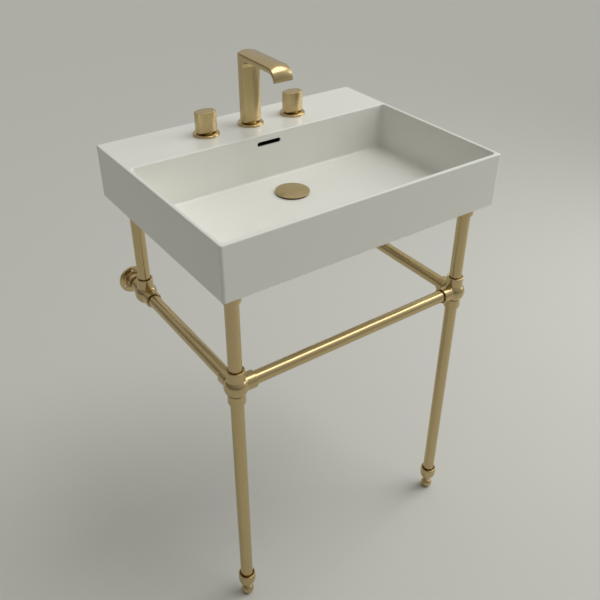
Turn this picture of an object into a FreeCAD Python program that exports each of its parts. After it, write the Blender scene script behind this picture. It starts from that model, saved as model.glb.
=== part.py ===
"""Console sink: a rectangular ceramic basin on a tubular brass stand, with a three-piece tap and a pop-up waste.

Millimetres, +Z up, X along the wall and +Y towards it. The origin is on the floor below the middle of the
basin, so the wall is the plane Y = basin_depth / 2.
"""

import FreeCAD, Part

import math
import os
import re

import Sketcher

SIZES = {
    # basin
    "basin_width": 600,
    "basin_depth": 464,
    "rim_height": 900,
    "apron_height": 104,
    "rim_wall": 8,
    "bowl_draft": 5,
    "deck_depth": 136,
    "floor_thickness": 13,
    "floor_fall": 3,
    "corner_radius": 5,
    "bowl_corner_radius": 8,
    "floor_radius": 6,
    "rim_radius": 2.6,
    "base_radius": 2,
    # hollow below the deck
    "deck_thickness": 14,
    "back_wall": 12,
    "bowl_back_wall": 10,
    "shelf_thickness": 12,
    "shelf_length": 85,
    "wall_hole_spacing": 280,
    "wall_hole_diameter": 14,
    "wall_hole_drop": 50,
    # overflow
    "slot_width": 54,
    "slot_height": 9,
    "slot_drop": 13.5,
    "duct_width": 62,
    "duct_depth": 9,
    "duct_wall": 7,
    "duct_height": 10,
    "chamber_diameter": 66,
    # waste
    "drain_setback": 217.5,
    "drain_hole_diameter": 45,
    "waste_diameter": 42,
    "waste_length": 62,
    "waste_bore": 33,
    "waste_flange_diameter": 62,
    "waste_flange_thickness": 2.5,
    "waste_port_height": 7,
    "gasket_thickness": 1,
    "seat_margin": 1.5,
    "washer_diameter": 60,
    "washer_thickness": 5,
    "washer_chamfer": 2,
    "waste_nut_diameter": 58,
    "waste_nut_thickness": 9,
    "tail_diameter": 32,
    "tail_wall": 1.5,
    "tail_length": 112,
    "tail_entry": 14,
    "tail_spigot_wall": 2.25,
    "hub_diameter": 17,
    "hub_height": 6,
    "hub_drop": 9,
    "hub_arm": 3,
    "hub_arm_count": 3,
    "latch_diameter": 12,
    "latch_length": 34,
    "latch_head": 1.5,
    "stem_diameter": 6,
    "stem_length": 36,
    "plug_diameter": 68,
    "plug_edge": 2,
    "plug_rise": 2.4,
    "plug_gap": 2.2,
    "plug_boss_diameter": 12,
    "plug_boss_height": 4.8,
    "plug_seal_clearance": 0.3,
    # tap
    "tap_setback": 70.7,
    "handle_spacing": 203.2,
    "tap_hole_diameter": 35,
    "ring_diameter": 52.5,
    "ring_thickness": 4.5,
    "ring_round": 1.8,
    "ring_gap": 2.6,
    "shank_diameter": 27,
    "tap_gasket_thickness": 2,
    "tap_washer_thickness": 1.5,
    "tap_washer_diameter": 46,
    "tap_nut_diameter": 44,
    "tap_nut_thickness": 8,
    "knob_width": 41,
    "knob_edge": 17,
    "knob_depth": 28,
    "knob_end_bulge": 1.2,
    "knob_height": 39.5,
    "knob_round": 0.8,
    "spindle_diameter": 8,
    "spindle_entry": 16,
    "spindle_reach": 24,
    "cartridge_diameter": 20,
    "cartridge_length": 42,
    "cartridge_head": 1.4,
    "cartridge_head_diameter": 25,
    "valve_shank_length": 54,
    "valve_body_diameter": 34,
    "valve_body_height": 24,
    "inlet_diameter": 20.95,
    "inlet_length": 15,
    "waterway_diameter": 11,
    "port_diameter": 16,
    "port_bore": 10,
    "port_reach": 31,
    "grub_diameter": 5,
    "knob_grub_diameter": 4,
    "knob_grub_height": 5,
    "knob_grub_length": 7,
    # spout
    "column_width": 40,
    "column_edge": 17,
    "column_depth": 26,
    "spout_end_bulge": 1,
    "arm_width": 42,
    "arm_edge": 9.6,
    "arm_depth": 18,
    "arm_height": 135.2,
    "arm_reach": 96,
    "bend_reach": 111.1,
    "bend_height": 130.4,
    "bend_tilt": 130,
    "bend_edge": 7.4,
    "bend_front_crown": 5.7,
    "bend_back_crown": 9.3,
    "tip_reach": 118.2,
    "tip_height": 116,
    "tip_edge": 3.4,
    "tip_front_crown": 0.8,
    "tip_back_crown": 13,
    "spout_socket_depth": 20,
    "spout_spigot_diameter": 20,
    "spout_neck_diameter": 25,
    "aerator_width": 20,
    "aerator_depth": 7,
    "aerator_height": 8,
    "aerator_recess": 0.4,
    "aerator_slot_count": 4,
    "aerator_slot_width": 3,
    "aerator_rib": 1.6,
    "shank_drop": 56,
    "tee_height": 30,
    "tee_entry": 12,
    # stand
    "leg_side_inset": 35,
    "leg_front_inset": 38,
    "rear_post_setback": 65,
    "joint_height": 589,
    "tube_diameter": 25.4,
    "tube_wall": 1.5,
    "ball_diameter": 45.5,
    "collar_diameter": 33.5,
    "collar_reach": 36.5,
    "collar_round": 1.2,
    "socket_seat": 17,
    "mouth_groove": 1.9,
    "mouth_depth": 2.2,
    "grub_reach": 28.5,
    "grub_recess": 0.4,
    "top_plate_diameter": 55,
    "top_plate_thickness": 4,
    "top_pad_thickness": 1,
    "top_pad_inset": 1.5,
    "top_collar_length": 22,
    "flange_diameter": 60,
    "flange_thickness": 4.5,
    "flange_boss_root": 38,
    "flange_boss_length": 20,
    "flange_socket_depth": 15,
    "screw_circle": 44,
    "screw_hole_diameter": 5.5,
    "screw_count": 3,
    "cup_bottom": 32,
    "cup_height": 32,
    "cup_diameter": 36,
    "cup_base_diameter": 22,
    "cup_swell_diameter": 32,
    "cup_swell_height": 5.6,
    "cup_shoulder_height": 13.2,
    "cup_mouth": 30.5,
    "cup_mouth_depth": 5,
    "cup_seat": 12,
    "foot_diameter": 26,
    "foot_ball_height": 20,
    "foot_neck_diameter": 15,
    "foot_neck_height": 8,
    "stud_diameter": 10,
    "stud_length": 34,
    "jam_nut_diameter": 19,
    "jam_nut_thickness": 3.5,
    # clearances
    "fit": 0.05,
}

PLACES = {
    "wall_y": "basin_depth / 2",
    "under_z": "rim_height - apron_height",
    "floor_z": "under_z + floor_thickness",
    "drain_z": "floor_z - floor_fall",
    "bowl_back_y": "wall_y - deck_depth",
    "bowl_half": "basin_width / 2 - rim_wall",
    "drain_y": "wall_y - drain_setback",
    "tap_y": "wall_y - tap_setback",
    "deck_under_z": "rim_height - deck_thickness",
    "bay_front_y": "bowl_back_y + bowl_back_wall",
    "bay_back_y": "wall_y - back_wall",
    "bay_half": "basin_width / 2 - back_wall",
    "duct_front_y": "bowl_back_y + duct_wall",
    "duct_back_y": "duct_front_y + duct_depth",
    "duct_top_z": "rim_height - slot_drop",
    "duct_floor_z": "duct_roof_z - duct_height",
    "duct_roof_z": "under_z - duct_wall / 2",
    "chamber_under_z": "duct_floor_z - duct_wall",
    "recess_z": "drain_z - waste_flange_thickness - gasket_thickness",
    "flange_under_z": "drain_z - waste_flange_thickness",
    "waste_bottom_z": "flange_under_z - waste_length",
    "shoulder_z": "waste_bottom_z + tail_entry",
    "hub_z": "drain_z - hub_drop - hub_height",
    "latch_top_z": "hub_z + hub_height + latch_head",
    "plug_z": "drain_z + plug_gap",
    "ring_top_z": "rim_height + ring_thickness",
    "knob_z": "ring_top_z + ring_gap",
    "nut_top_z": "deck_under_z - tap_gasket_thickness - tap_washer_thickness",
    "handle_x": "handle_spacing / 2",
    "valve_top_z": "ring_top_z - fit",
    "valve_body_z": "valve_top_z - valve_shank_length - valve_body_height",
    "port_z": "valve_body_z + valve_body_height / 2",
    "shank_bottom_z": "rim_height - shank_drop",
    "tee_z": "shank_bottom_z + tee_entry - tee_height",
    "leg_x": "basin_width / 2 - leg_side_inset",
    "front_y": "leg_front_inset - wall_y",
    "rear_y": "wall_y - rear_post_setback",
    "plate_z": "under_z - top_pad_thickness - top_plate_thickness",
    "cup_seat_z": "cup_bottom + cup_seat",
    "jam_nut_z": "cup_bottom - jam_nut_thickness",
}

PUSH = {
    "up": (0, 0, 1),
    "down": (0, 0, -1),
    "right": (1, 0, 0),
    "left": (-1, 0, 0),
    "back": (0, 1, 0),
    "front": (0, -1, 0),
}

TAP_PLACES = (("hot", "-handle_x"), ("spout", "0"), ("cold", "handle_x"))

doc = FreeCAD.newDocument("ConsoleSink")
sheet = doc.addObject("Spreadsheet::Sheet", "Sizes")


def fill_sheet():
    """Each driving dimension has a row: its name, its value and the alias that expressions use."""
    for row, (name, value) in enumerate(SIZES.items(), 1):
        sheet.set("A%d" % row, name)
        sheet.set("B%d" % row, str(value))
        sheet.setAlias("B%d" % row, name)
    doc.recompute()


def bound(expression):
    """An expression for the document: derived places are spelled out, and sizes name their cell."""

    def spell(match):
        word = match.group(0)
        if word in PLACES:
            return "(" + bound(PLACES[word]) + ")"
        if word in SIZES:
            return "Sizes." + word
        return word

    return re.sub(r"[a-z_]+", spell, expression)


def value(expression):
    """The number that an expression gives now."""
    result = sheet.evalExpression(bound(expression))
    return float(getattr(result, "Value", result))


def turned_to(push):
    """The rotation that carries +Z to a named direction."""
    return FreeCAD.Rotation(FreeCAD.Vector(0, 0, 1), FreeCAD.Vector(*PUSH[push]))


def place(thing, x, y, z, push="up"):
    """Puts an object at a point given by three expressions, with its Z axis in a named direction."""
    thing.Placement = FreeCAD.Placement(FreeCAD.Vector(), turned_to(push))
    for axis, expression in zip("xyz", (x, y, z)):
        thing.setExpression("Placement.Base." + axis, bound(expression))
    return thing


def along(point, push, distance):
    """The point that lies a distance from another in a named direction, as expressions."""
    moved = []
    for start, step in zip(point, PUSH[push]):
        moved.append(start if step == 0 else "%s %s (%s)" % (start, "+" if step > 0 else "-", distance))
    return moved


def primitive(kind, name, push="up", at=("0", "0", "0"), **sizes):
    """A Part primitive whose sizes and place follow expressions."""
    thing = doc.addObject("Part::" + kind, name)
    for size, expression in sizes.items():
        thing.setExpression(size, bound(expression))
    return place(thing, *at, push)


def cylinder(name, radius, height, at, push="up"):
    return primitive("Cylinder", name, push, at, Radius=radius, Height=height)


def box(name, low, high):
    """A box between two corners, each given by three expressions."""
    spans = ["(%s) - (%s)" % (b, a) for a, b in zip(low, high)]
    return primitive("Box", name, "up", low, Length=spans[0], Width=spans[1], Height=spans[2])


def prism(name, across, height, at, push="up"):
    """A hexagon measured across its corners."""
    thing = primitive("Prism", name, push, at, Circumradius=across + " / 2", Height=height)
    thing.Polygon = 6
    return thing


def fused(label, things):
    fuse = doc.addObject("Part::MultiFuse", label)
    fuse.Shapes = things
    return fuse


def cut(label, base, tools):
    tool = tools[0] if len(tools) == 1 else fused(label + "_tools", tools)
    result = doc.addObject("Part::Cut", label)
    result.Base = base
    result.Tool = tool
    return result


def grouped(label, things):
    """Separate solids that share one node."""
    group = doc.addObject("Part::Compound", label)
    group.Links = things
    return group


def origin_plane(body, role):
    return [feature for feature in body.Origin.OriginFeatures if feature.Role == role][0]


def new_sketch(body, name, role, shift="0"):
    """A sketch on one of the body's own origin planes, moved along its normal."""
    sketch = body.newObject("Sketcher::SketchObject", name)
    sketch.AttachmentSupport = [(origin_plane(body, role), "")]
    sketch.MapMode = "FlatFace"
    if shift != "0":
        sketch.setExpression("AttachmentOffset.Base.z", bound(shift))
    return sketch


def pin_point(sketch, geometry, end, across, up):
    """Ties a sketch point to the origin by two named, bound distances."""
    for kind, expression, axis in (("DistanceX", across, -2), ("DistanceY", up, -1)):
        now = value(expression)
        if abs(now) < 1e-9:
            sketch.addConstraint(Sketcher.Constraint("PointOnObject", geometry, end, axis))
            continue
        ends = (-1, 1, geometry, end) if now > 0 else (geometry, end, -1, 1)
        index = sketch.addConstraint(Sketcher.Constraint(kind, *ends, abs(now)))
        name = "%s_%d_%d" % (kind, geometry, end)
        sketch.renameConstraint(index, name)
        sketch.setExpression("Constraints." + name, bound(expression if now > 0 else "-(%s)" % expression))


def outline(body, name, role, points, arcs=None, shift="0"):
    """A closed anticlockwise outline through bound points; arcs holds the radius of each side that bulges."""
    arcs = arcs or {}
    sketch = new_sketch(body, name, role, shift)
    corners = [FreeCAD.Vector(value(across), value(up), 0) for across, up in points]
    count = len(corners)
    for i, start in enumerate(corners):
        end = corners[(i + 1) % count]
        if i not in arcs:
            sketch.addGeometry(Part.LineSegment(start, end), False)
            continue
        chord = end - start
        radius = value(arcs[i])
        rise = radius - math.sqrt(radius**2 - chord.Length**2 / 4)
        outward = FreeCAD.Vector(chord.y, -chord.x, 0).normalize()
        sketch.addGeometry(Part.Arc(start, (start + end) / 2 + outward * rise, end), False)
    for i in range(count):
        sketch.addConstraint(Sketcher.Constraint("Coincident", i, 2, (i + 1) % count, 1))
    for i, (across, up) in enumerate(points):
        pin_point(sketch, i, 1, across, up)
    for i, radius in arcs.items():
        index = sketch.addConstraint(Sketcher.Constraint("Radius", i, value(radius)))
        sketch.renameConstraint(index, "arc_%d" % i)
        sketch.setExpression("Constraints.arc_%d" % i, bound(radius))
    return sketch


def rectangle(body, name, low, high, shift):
    points = [(low[0], low[1]), (high[0], low[1]), (high[0], high[1]), (low[0], high[1])]
    return outline(body, name, "XY_Plane", points, shift=shift)


def arc_radius(half_chord, rise):
    """The radius of an arc from half its chord and its rise."""
    return "((%s)^2 + (%s)^2) / (2 * (%s))" % (half_chord, rise, rise)


def lens(body, name, half_width, edge, front_crown, back_crown, end_bulge, lift="0"):
    """A rounded oblong of four arcs: gently crowned front and back, narrow bulged ends."""
    corners = [
        ("-(%s)" % half_width, "-(%s)" % edge),
        (half_width, "-(%s)" % edge),
        (half_width, edge),
        ("-(%s)" % half_width, edge),
    ]
    end = arc_radius(edge, end_bulge)
    arcs = {
        0: arc_radius(half_width, "%s - (%s)" % (front_crown, edge)),
        1: end,
        2: arc_radius(half_width, "%s - (%s)" % (back_crown, edge)),
        3: end,
    }
    return outline(body, name, "XY_Plane", corners, arcs, lift)


def padded(body, name, sketch, length):
    pad = body.newObject("PartDesign::Pad", name)
    pad.Profile = (sketch, [""])
    pad.setExpression("Length", bound(length))
    doc.recompute()
    return pad


def rounded(body, radius, pick):
    """Rounds the edges of the body that pick chooses."""
    base = body.Tip
    names = ["Edge%d" % (i + 1) for i, edge in enumerate(base.Shape.Edges) if pick(edge)]
    if not names:
        raise RuntimeError("no edge to round on " + body.Label)
    fillet = body.newObject("PartDesign::Fillet", base.Name + "_round")
    fillet.Base = (base, names)
    fillet.setExpression("Radius", bound(radius))
    doc.recompute()
    return fillet


def ring_at(radius, height):
    """Chooses the round edge with a radius at a height above the body's own origin."""

    def pick(edge):
        curve = edge.Curve
        return (
            isinstance(curve, Part.Circle)
            and abs(curve.Radius - value(radius)) < 0.01
            and abs(curve.Center.z - value(height)) < 0.01
        )

    return pick


def turned(label, section, at=("0", "0", "0"), push="up", arcs=None):
    """A turned piece: the half section is (radius, height) points, anticlockwise."""
    body = doc.addObject("PartDesign::Body", label)
    sketch = outline(body, label + "_section", "XZ_Plane", section, arcs)
    turn = body.newObject("PartDesign::Revolution", label + "_turn")
    turn.Profile = (sketch, [""])
    turn.ReferenceAxis = (sketch, ["V_Axis"])
    turn.Angle = 360
    doc.recompute()
    return place(body, *at, push)


def sleeve(label, outer, inner, length, at, push="up"):
    """A plain round tube from its outer and inner diameters."""
    section = [
        (inner + " / 2", "0"),
        (outer + " / 2", "0"),
        (outer + " / 2", length),
        (inner + " / 2", length),
    ]
    return turned(label, section, at, push)


def rod(label, diameter, length, at, push="up"):
    """A plain solid rod."""
    section = [("0", "0"), (diameter + " / 2", "0"), (diameter + " / 2", length), ("0", length)]
    return turned(label, section, at, push)


def is_level(edge, height):
    return all(abs(vertex.Point.z - value(height)) < 0.01 for vertex in edge.Vertexes)


def basin_shell():
    """The outer block with its drafted bowl, before the hollows below it are cut."""
    body = doc.addObject("PartDesign::Body", "basin_shell")
    outline = rectangle(
        body,
        "apron_outline",
        ("-basin_width / 2", "-basin_depth / 2"),
        ("basin_width / 2", "basin_depth / 2"),
        "under_z",
    )
    padded(body, "apron", outline, "apron_height")
    rounded(body, "corner_radius", lambda edge: abs(edge.BoundBox.ZLength - value("apron_height")) < 0.01)
    mouth = rectangle(
        body,
        "bowl_mouth",
        ("-bowl_half", "rim_wall - basin_depth / 2"),
        ("bowl_half", "bowl_back_y"),
        "rim_height",
    )
    bowl = body.newObject("PartDesign::Pocket", "bowl")
    bowl.Profile = (mouth, [""])
    bowl.setExpression("Length", bound("apron_height - floor_thickness"))
    bowl.setExpression("TaperAngle", bound("-bowl_draft"))
    doc.recompute()
    depth = value("apron_height - floor_thickness")
    rounded(body, "bowl_corner_radius", lambda edge: abs(edge.BoundBox.ZLength - depth) < 0.01)
    rounded(body, "floor_radius", lambda edge: is_level(edge, "floor_z"))
    rounded(body, "rim_radius", lambda edge: is_level(edge, "rim_height"))
    rounded(body, "base_radius", lambda edge: is_level(edge, "under_z"))
    floor_inset = "(apron_height - floor_thickness) * tan(bowl_draft) + floor_radius"
    wide = rectangle(
        body,
        "floor_outline",
        ("-bowl_half + " + floor_inset, "rim_wall - basin_depth / 2 + " + floor_inset),
        ("bowl_half - (%s)" % floor_inset, "bowl_back_y - (%s)" % floor_inset),
        "floor_z",
    )
    low = rectangle(
        body,
        "floor_low",
        ("-waste_flange_diameter / 2", "drain_y - waste_flange_diameter / 2"),
        ("waste_flange_diameter / 2", "drain_y + waste_flange_diameter / 2"),
        "drain_z",
    )
    fall = body.newObject("PartDesign::SubtractiveLoft", "floor_fall")
    fall.Profile = (wide, [""])
    fall.Sections = [(low, [""])]
    fall.Ruled = True
    doc.recompute()
    return body


def make_basin():
    """Ceramic basin: bowl, tap deck hollow from below, overflow duct behind the bowl and wall holes."""
    shell = basin_shell()
    bay = box(
        "bay",
        ("-bay_half", "bay_front_y", "under_z + shelf_thickness"),
        ("bay_half", "bay_back_y", "deck_under_z"),
    )
    bay_mouth = box(
        "bay_mouth",
        ("shelf_length - basin_width / 2", "bay_front_y", "under_z - rim_wall"),
        ("basin_width / 2 - shelf_length", "bay_back_y", "under_z + shelf_thickness"),
    )
    hollowed = cut("basin_hollowed", shell, [bay, bay_mouth])
    casing_half = "duct_width / 2 + duct_wall"
    duct_casing = box(
        "duct_casing",
        ("-(%s)" % casing_half, "bowl_back_y + duct_wall / 2", "chamber_under_z"),
        (casing_half, "duct_back_y + duct_wall", "deck_under_z + duct_wall / 2"),
    )
    run_casing = box(
        "run_casing",
        ("-(%s)" % casing_half, "drain_y", "chamber_under_z"),
        (casing_half, "duct_back_y + duct_wall", "under_z + floor_thickness / 4"),
    )
    chamber_casing = cylinder(
        "chamber_casing",
        "chamber_diameter / 2 + duct_wall",
        "under_z + floor_thickness / 4 - chamber_under_z",
        ("0", "drain_y", "chamber_under_z"),
    )
    cased = fused("basin_cased", [hollowed, duct_casing, run_casing, chamber_casing])
    duct = box(
        "duct",
        ("-duct_width / 2", "duct_front_y", "duct_floor_z"),
        ("duct_width / 2", "duct_back_y", "duct_top_z"),
    )
    run = box(
        "duct_run",
        ("-duct_width / 2", "drain_y", "duct_floor_z"),
        ("duct_width / 2", "duct_back_y", "duct_roof_z"),
    )
    chamber = cylinder("chamber", "chamber_diameter / 2", "duct_height", ("0", "drain_y", "duct_floor_z"))
    straight = "(slot_width - slot_height) / 2"
    slot_z = "duct_top_z - slot_height / 2"
    slot_start = "bowl_back_y - floor_radius"
    slot_length = "duct_front_y + duct_depth / 2 - (%s)" % slot_start
    slot = box(
        "slot_middle",
        ("-(%s)" % straight, slot_start, "duct_top_z - slot_height"),
        (straight, slot_start + " + " + slot_length, "duct_top_z"),
    )
    slot_ends = []
    for side, sign in (("left", "-"), ("right", "")):
        end_at = (sign + "(%s)" % straight, slot_start, slot_z)
        slot_ends.append(cylinder("slot_end_" + side, "slot_height / 2", slot_length, end_at, "back"))
    drain_hole = cylinder(
        "drain_hole",
        "drain_hole_diameter / 2",
        "drain_z - chamber_under_z + duct_wall",
        ("0", "drain_y", "chamber_under_z - duct_wall / 2"),
    )
    recess = cylinder(
        "drain_recess",
        "waste_flange_diameter / 2 + seat_margin",
        "floor_thickness",
        ("0", "drain_y", "recess_z"),
    )
    tap_holes = []
    for name, x in TAP_PLACES:
        hole_at = (x, "tap_y", "deck_under_z - rim_wall / 2")
        depth = "deck_thickness + rim_wall"
        tap_holes.append(cylinder("tap_hole_" + name, "tap_hole_diameter / 2", depth, hole_at))
    wall_holes = []
    for side, sign in (("left", "-"), ("right", "")):
        hole_at = (
            sign + "wall_hole_spacing / 2",
            "bay_back_y - back_wall / 2",
            "rim_height - wall_hole_drop",
        )
        hole = cylinder("wall_hole_" + side, "wall_hole_diameter / 2", "back_wall * 2", hole_at, "back")
        wall_holes.append(hole)
    tools = [duct, run, chamber, slot, drain_hole, recess] + slot_ends + tap_holes + wall_holes
    return [cut("basin", cased, tools)]


def make_waste():
    """Pop-up waste: flanged body with overflow ports, seals, nut, tailpiece, latch and lifting plug."""
    at = ("0", "drain_y", "0")
    section = [
        ("waste_bore / 2", "shoulder_z"),
        ("tail_diameter / 2 + tail_spigot_wall + fit", "shoulder_z"),
        ("tail_diameter / 2 + tail_spigot_wall + fit", "waste_bottom_z"),
        ("waste_diameter / 2", "waste_bottom_z"),
        ("waste_diameter / 2", "flange_under_z"),
        ("waste_flange_diameter / 2", "flange_under_z"),
        ("waste_flange_diameter / 2", "drain_z"),
        ("waste_bore / 2", "drain_z"),
    ]
    tube = turned("waste_tube", section, at)
    hub = cylinder("waste_hub", "hub_diameter / 2", "hub_height", ("0", "drain_y", "hub_z"))
    arms = []
    arm_count = round(value("hub_arm_count"))
    for number in range(arm_count):
        arm = primitive(
            "Box",
            "hub_arm_%d" % number,
            at=("0", "drain_y", "hub_z"),
            Length="waste_bore / 2 + tail_wall",
            Width="hub_arm",
            Height="hub_height",
        )
        arm.Placement.Rotation = FreeCAD.Rotation(FreeCAD.Vector(0, 0, 1), 360 / arm_count * number)
        arms.append(arm)
    ports = []
    for number, push in enumerate(("right", "back", "left", "front")):
        port = cylinder(
            "overflow_port_%d" % number,
            "waste_port_height / 2",
            "waste_diameter / 2 + tail_wall",
            along(("0", "drain_y", "duct_floor_z + duct_height / 2"), push, "hub_diameter / 2"),
            push,
        )
        ports.append(port)
    hub_bore = cylinder(
        "hub_bore", "latch_diameter / 2 + fit", "hub_height * 3", ("0", "drain_y", "hub_z - hub_height")
    )
    solid = fused("waste_solid", [tube, hub] + arms)
    body = cut("waste_body", solid, ports + [hub_bore])
    gasket = sleeve(
        "waste_gasket",
        "waste_flange_diameter",
        "(waste_diameter + 2 * fit)",
        "gasket_thickness",
        ("0", "drain_y", "recess_z"),
    )
    washer = turned(
        "waste_washer",
        [
            ("waste_diameter / 2 + fit", "0"),
            ("washer_diameter / 2 - washer_chamfer", "0"),
            ("washer_diameter / 2", "washer_chamfer"),
            ("washer_diameter / 2", "washer_thickness"),
            ("waste_diameter / 2 + fit", "washer_thickness"),
        ],
        ("0", "drain_y", "chamber_under_z - washer_thickness"),
    )
    nut_z = "chamber_under_z - washer_thickness - waste_nut_thickness"
    nut_body = prism("waste_nut_body", "waste_nut_diameter", "waste_nut_thickness", ("0", "drain_y", nut_z))
    nut_bore = cylinder(
        "waste_nut_bore",
        "waste_diameter / 2 + fit",
        "waste_nut_thickness * 2",
        ("0", "drain_y", nut_z + " - waste_nut_thickness / 2"),
    )
    nut = cut("waste_lock_nut", nut_body, [nut_bore])
    spigot = "tail_diameter / 2 + tail_spigot_wall"
    tailpiece = turned(
        "waste_tailpiece",
        [
            ("tail_diameter / 2 - tail_wall", "shoulder_z - tail_length"),
            ("tail_diameter / 2", "shoulder_z - tail_length"),
            ("tail_diameter / 2", "waste_bottom_z"),
            (spigot, "waste_bottom_z"),
            (spigot, "shoulder_z"),
            ("tail_diameter / 2 - tail_wall", "shoulder_z"),
        ],
        at,
    )
    latch = turned(
        "plug_latch",
        [
            ("0", "-latch_length"),
            ("latch_diameter / 2", "-latch_length"),
            ("latch_diameter / 2", "-latch_head"),
            ("hub_diameter / 2", "-latch_head"),
            ("hub_diameter / 2", "0"),
            ("stem_diameter / 2 + fit", "0"),
            ("stem_diameter / 2 + fit", "latch_head - latch_length"),
            ("0", "latch_head - latch_length"),
        ],
        ("0", "drain_y", "latch_top_z"),
    )
    return [body, gasket, washer, nut, tailpiece, latch]


def make_plug():
    """The part of the waste that lifts: domed cap, its seal and the stem that slides in the latch."""
    at = ("0", "drain_y", "plug_z")
    cap = turned(
        "plug_cap",
        [
            ("stem_diameter / 2", "-plug_boss_height"),
            ("plug_boss_diameter / 2", "-plug_boss_height"),
            ("plug_boss_diameter / 2", "0"),
            ("plug_diameter / 2 - plug_edge / 2", "0"),
            ("plug_diameter / 2", "plug_edge / 2"),
            ("plug_diameter / 2", "plug_edge"),
            ("0", "plug_edge + plug_rise"),
            ("0", "plug_edge / 2"),
            ("stem_diameter / 2", "plug_edge / 2"),
        ],
        at,
        arcs={5: arc_radius("plug_diameter / 2", "plug_rise")},
    )
    seal = sleeve(
        "plug_seal",
        "(waste_bore - 2 * plug_seal_clearance)",
        "(plug_boss_diameter + 2 * fit)",
        "plug_boss_height",
        ("0", "drain_y", "plug_z - plug_boss_height"),
    )
    stem_at = ("0", "drain_y", "plug_z + plug_edge / 2 - stem_length")
    stem = rod("plug_stem", "stem_diameter", "stem_length", stem_at)
    return [cap, seal, stem]


def base_ring(label, x):
    """The rounded ring on the deck, around a shank."""
    at = (x, "tap_y", "rim_height")
    ring = sleeve(label, "ring_diameter", "(shank_diameter + 2 * fit)", "ring_thickness", at)
    rounded(ring, "ring_round", ring_at("ring_diameter / 2", "ring_thickness"))
    return ring


def make_handle(side, x, inward):
    """One handle with its valve: knob, grub screw and spindle turn, the rest is fixed to the deck."""
    knob_body = doc.addObject("PartDesign::Body", side + "_knob_body")
    section = lens(
        knob_body,
        side + "_knob_section",
        "knob_width / 2 - knob_end_bulge",
        "knob_edge / 2",
        "knob_depth / 2",
        "knob_depth / 2",
        "knob_end_bulge",
    )
    padded(knob_body, side + "_knob_pad", section, "knob_height")
    rounded(knob_body, "knob_round", lambda edge: is_level(edge, "knob_height"))
    place(knob_body, x, "tap_y", "knob_z")
    knob_bore = cylinder(
        side + "_knob_bore",
        "spindle_diameter / 2 + fit",
        "spindle_entry + knob_round",
        (x, "tap_y", "knob_z - knob_round"),
    )
    grub_at = (x, "tap_y", "knob_z + knob_grub_height")
    grub_hole = cylinder(
        side + "_knob_grub_hole",
        "knob_grub_diameter / 2 + fit",
        "knob_depth",
        grub_at,
        "back",
    )
    knob = cut(side + "_knob", knob_body, [knob_bore, grub_hole])
    screw_start = "spindle_diameter / 2 + fit"
    screw_rod = cylinder(
        side + "_knob_grub_rod",
        "knob_grub_diameter / 2",
        "knob_grub_length",
        along(grub_at, "back", screw_start),
        "back",
    )
    screw_key = prism(
        side + "_knob_grub_key",
        "knob_grub_diameter / 2",
        "knob_grub_length",
        along(grub_at, "back", screw_start + " + knob_grub_length / 2"),
        "back",
    )
    screw = cut(side + "_knob_screw", screw_rod, [screw_key])
    spindle_at = (x, "tap_y", "knob_z - spindle_reach")
    spindle = rod(side + "_spindle", "spindle_diameter", "spindle_reach + spindle_entry", spindle_at)
    cartridge = turned(
        side + "_cartridge",
        [
            ("spindle_diameter / 2 + fit", "cartridge_head - spindle_reach - ring_gap"),
            ("0", "cartridge_head - spindle_reach - ring_gap"),
            ("0", "cartridge_head - cartridge_length"),
            ("cartridge_diameter / 2", "cartridge_head - cartridge_length"),
            ("cartridge_diameter / 2", "0"),
            ("cartridge_head_diameter / 2", "0"),
            ("cartridge_head_diameter / 2", "cartridge_head"),
            ("spindle_diameter / 2 + fit", "cartridge_head"),
        ],
        (x, "tap_y", "valve_top_z"),
    )
    return [knob, screw, spindle, cartridge, base_ring(side + "_base_ring", x), valve_body(side, x, inward)]


def valve_body(side, x, inward):
    """Brass body below the deck: threaded shank, inlet at the bottom and a port towards the spout."""
    at = (x, "tap_y", "0")
    outer = turned(
        side + "_valve_outer",
        [
            ("waterway_diameter / 2", "valve_body_z - inlet_length"),
            ("inlet_diameter / 2", "valve_body_z - inlet_length"),
            ("inlet_diameter / 2", "valve_body_z"),
            ("valve_body_diameter / 2", "valve_body_z"),
            ("valve_body_diameter / 2", "valve_body_z + valve_body_height"),
            ("shank_diameter / 2", "valve_body_z + valve_body_height"),
            ("shank_diameter / 2", "valve_top_z"),
            ("cartridge_diameter / 2 + fit", "valve_top_z"),
            ("cartridge_diameter / 2 + fit", "valve_top_z + cartridge_head - cartridge_length"),
            ("waterway_diameter / 2", "valve_top_z + cartridge_head - cartridge_length"),
        ],
        at,
    )
    port_at = (x, "tap_y", "port_z")
    port_start = along(port_at, inward, "waterway_diameter")
    port_length = "port_reach - waterway_diameter"
    port = cylinder(side + "_port", "port_diameter / 2", port_length, port_start, inward)
    port_bore = cylinder(side + "_port_bore", "port_bore / 2", "port_reach + fit", port_at, inward)
    solid = fused(side + "_valve_solid", [outer, port])
    return cut(side + "_valve_body", solid, [port_bore])


def spout_section(body, name, y, z, tilt, half_width, edge, outer_crown, inner_crown):
    """A cross-section of the spout: its outer side faces back, then up, then forward as tilt grows."""
    sketch = lens(body, name, half_width, edge, inner_crown, outer_crown, "spout_end_bulge")
    sketch.AttachmentOffset = FreeCAD.Placement(
        FreeCAD.Vector(), FreeCAD.Rotation(FreeCAD.Vector(1, 0, 0), tilt)
    )
    sketch.setExpression("AttachmentOffset.Base.y", bound(y))
    sketch.setExpression("AttachmentOffset.Base.z", bound(z))
    return sketch


def loft(body, name, sections, ruled):
    result = body.newObject("PartDesign::AdditiveLoft", name)
    result.Profile = (sections[0], [""])
    result.Sections = [(section, [""]) for section in sections[1:]]
    result.Ruled = ruled
    doc.recompute()
    return result


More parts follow.
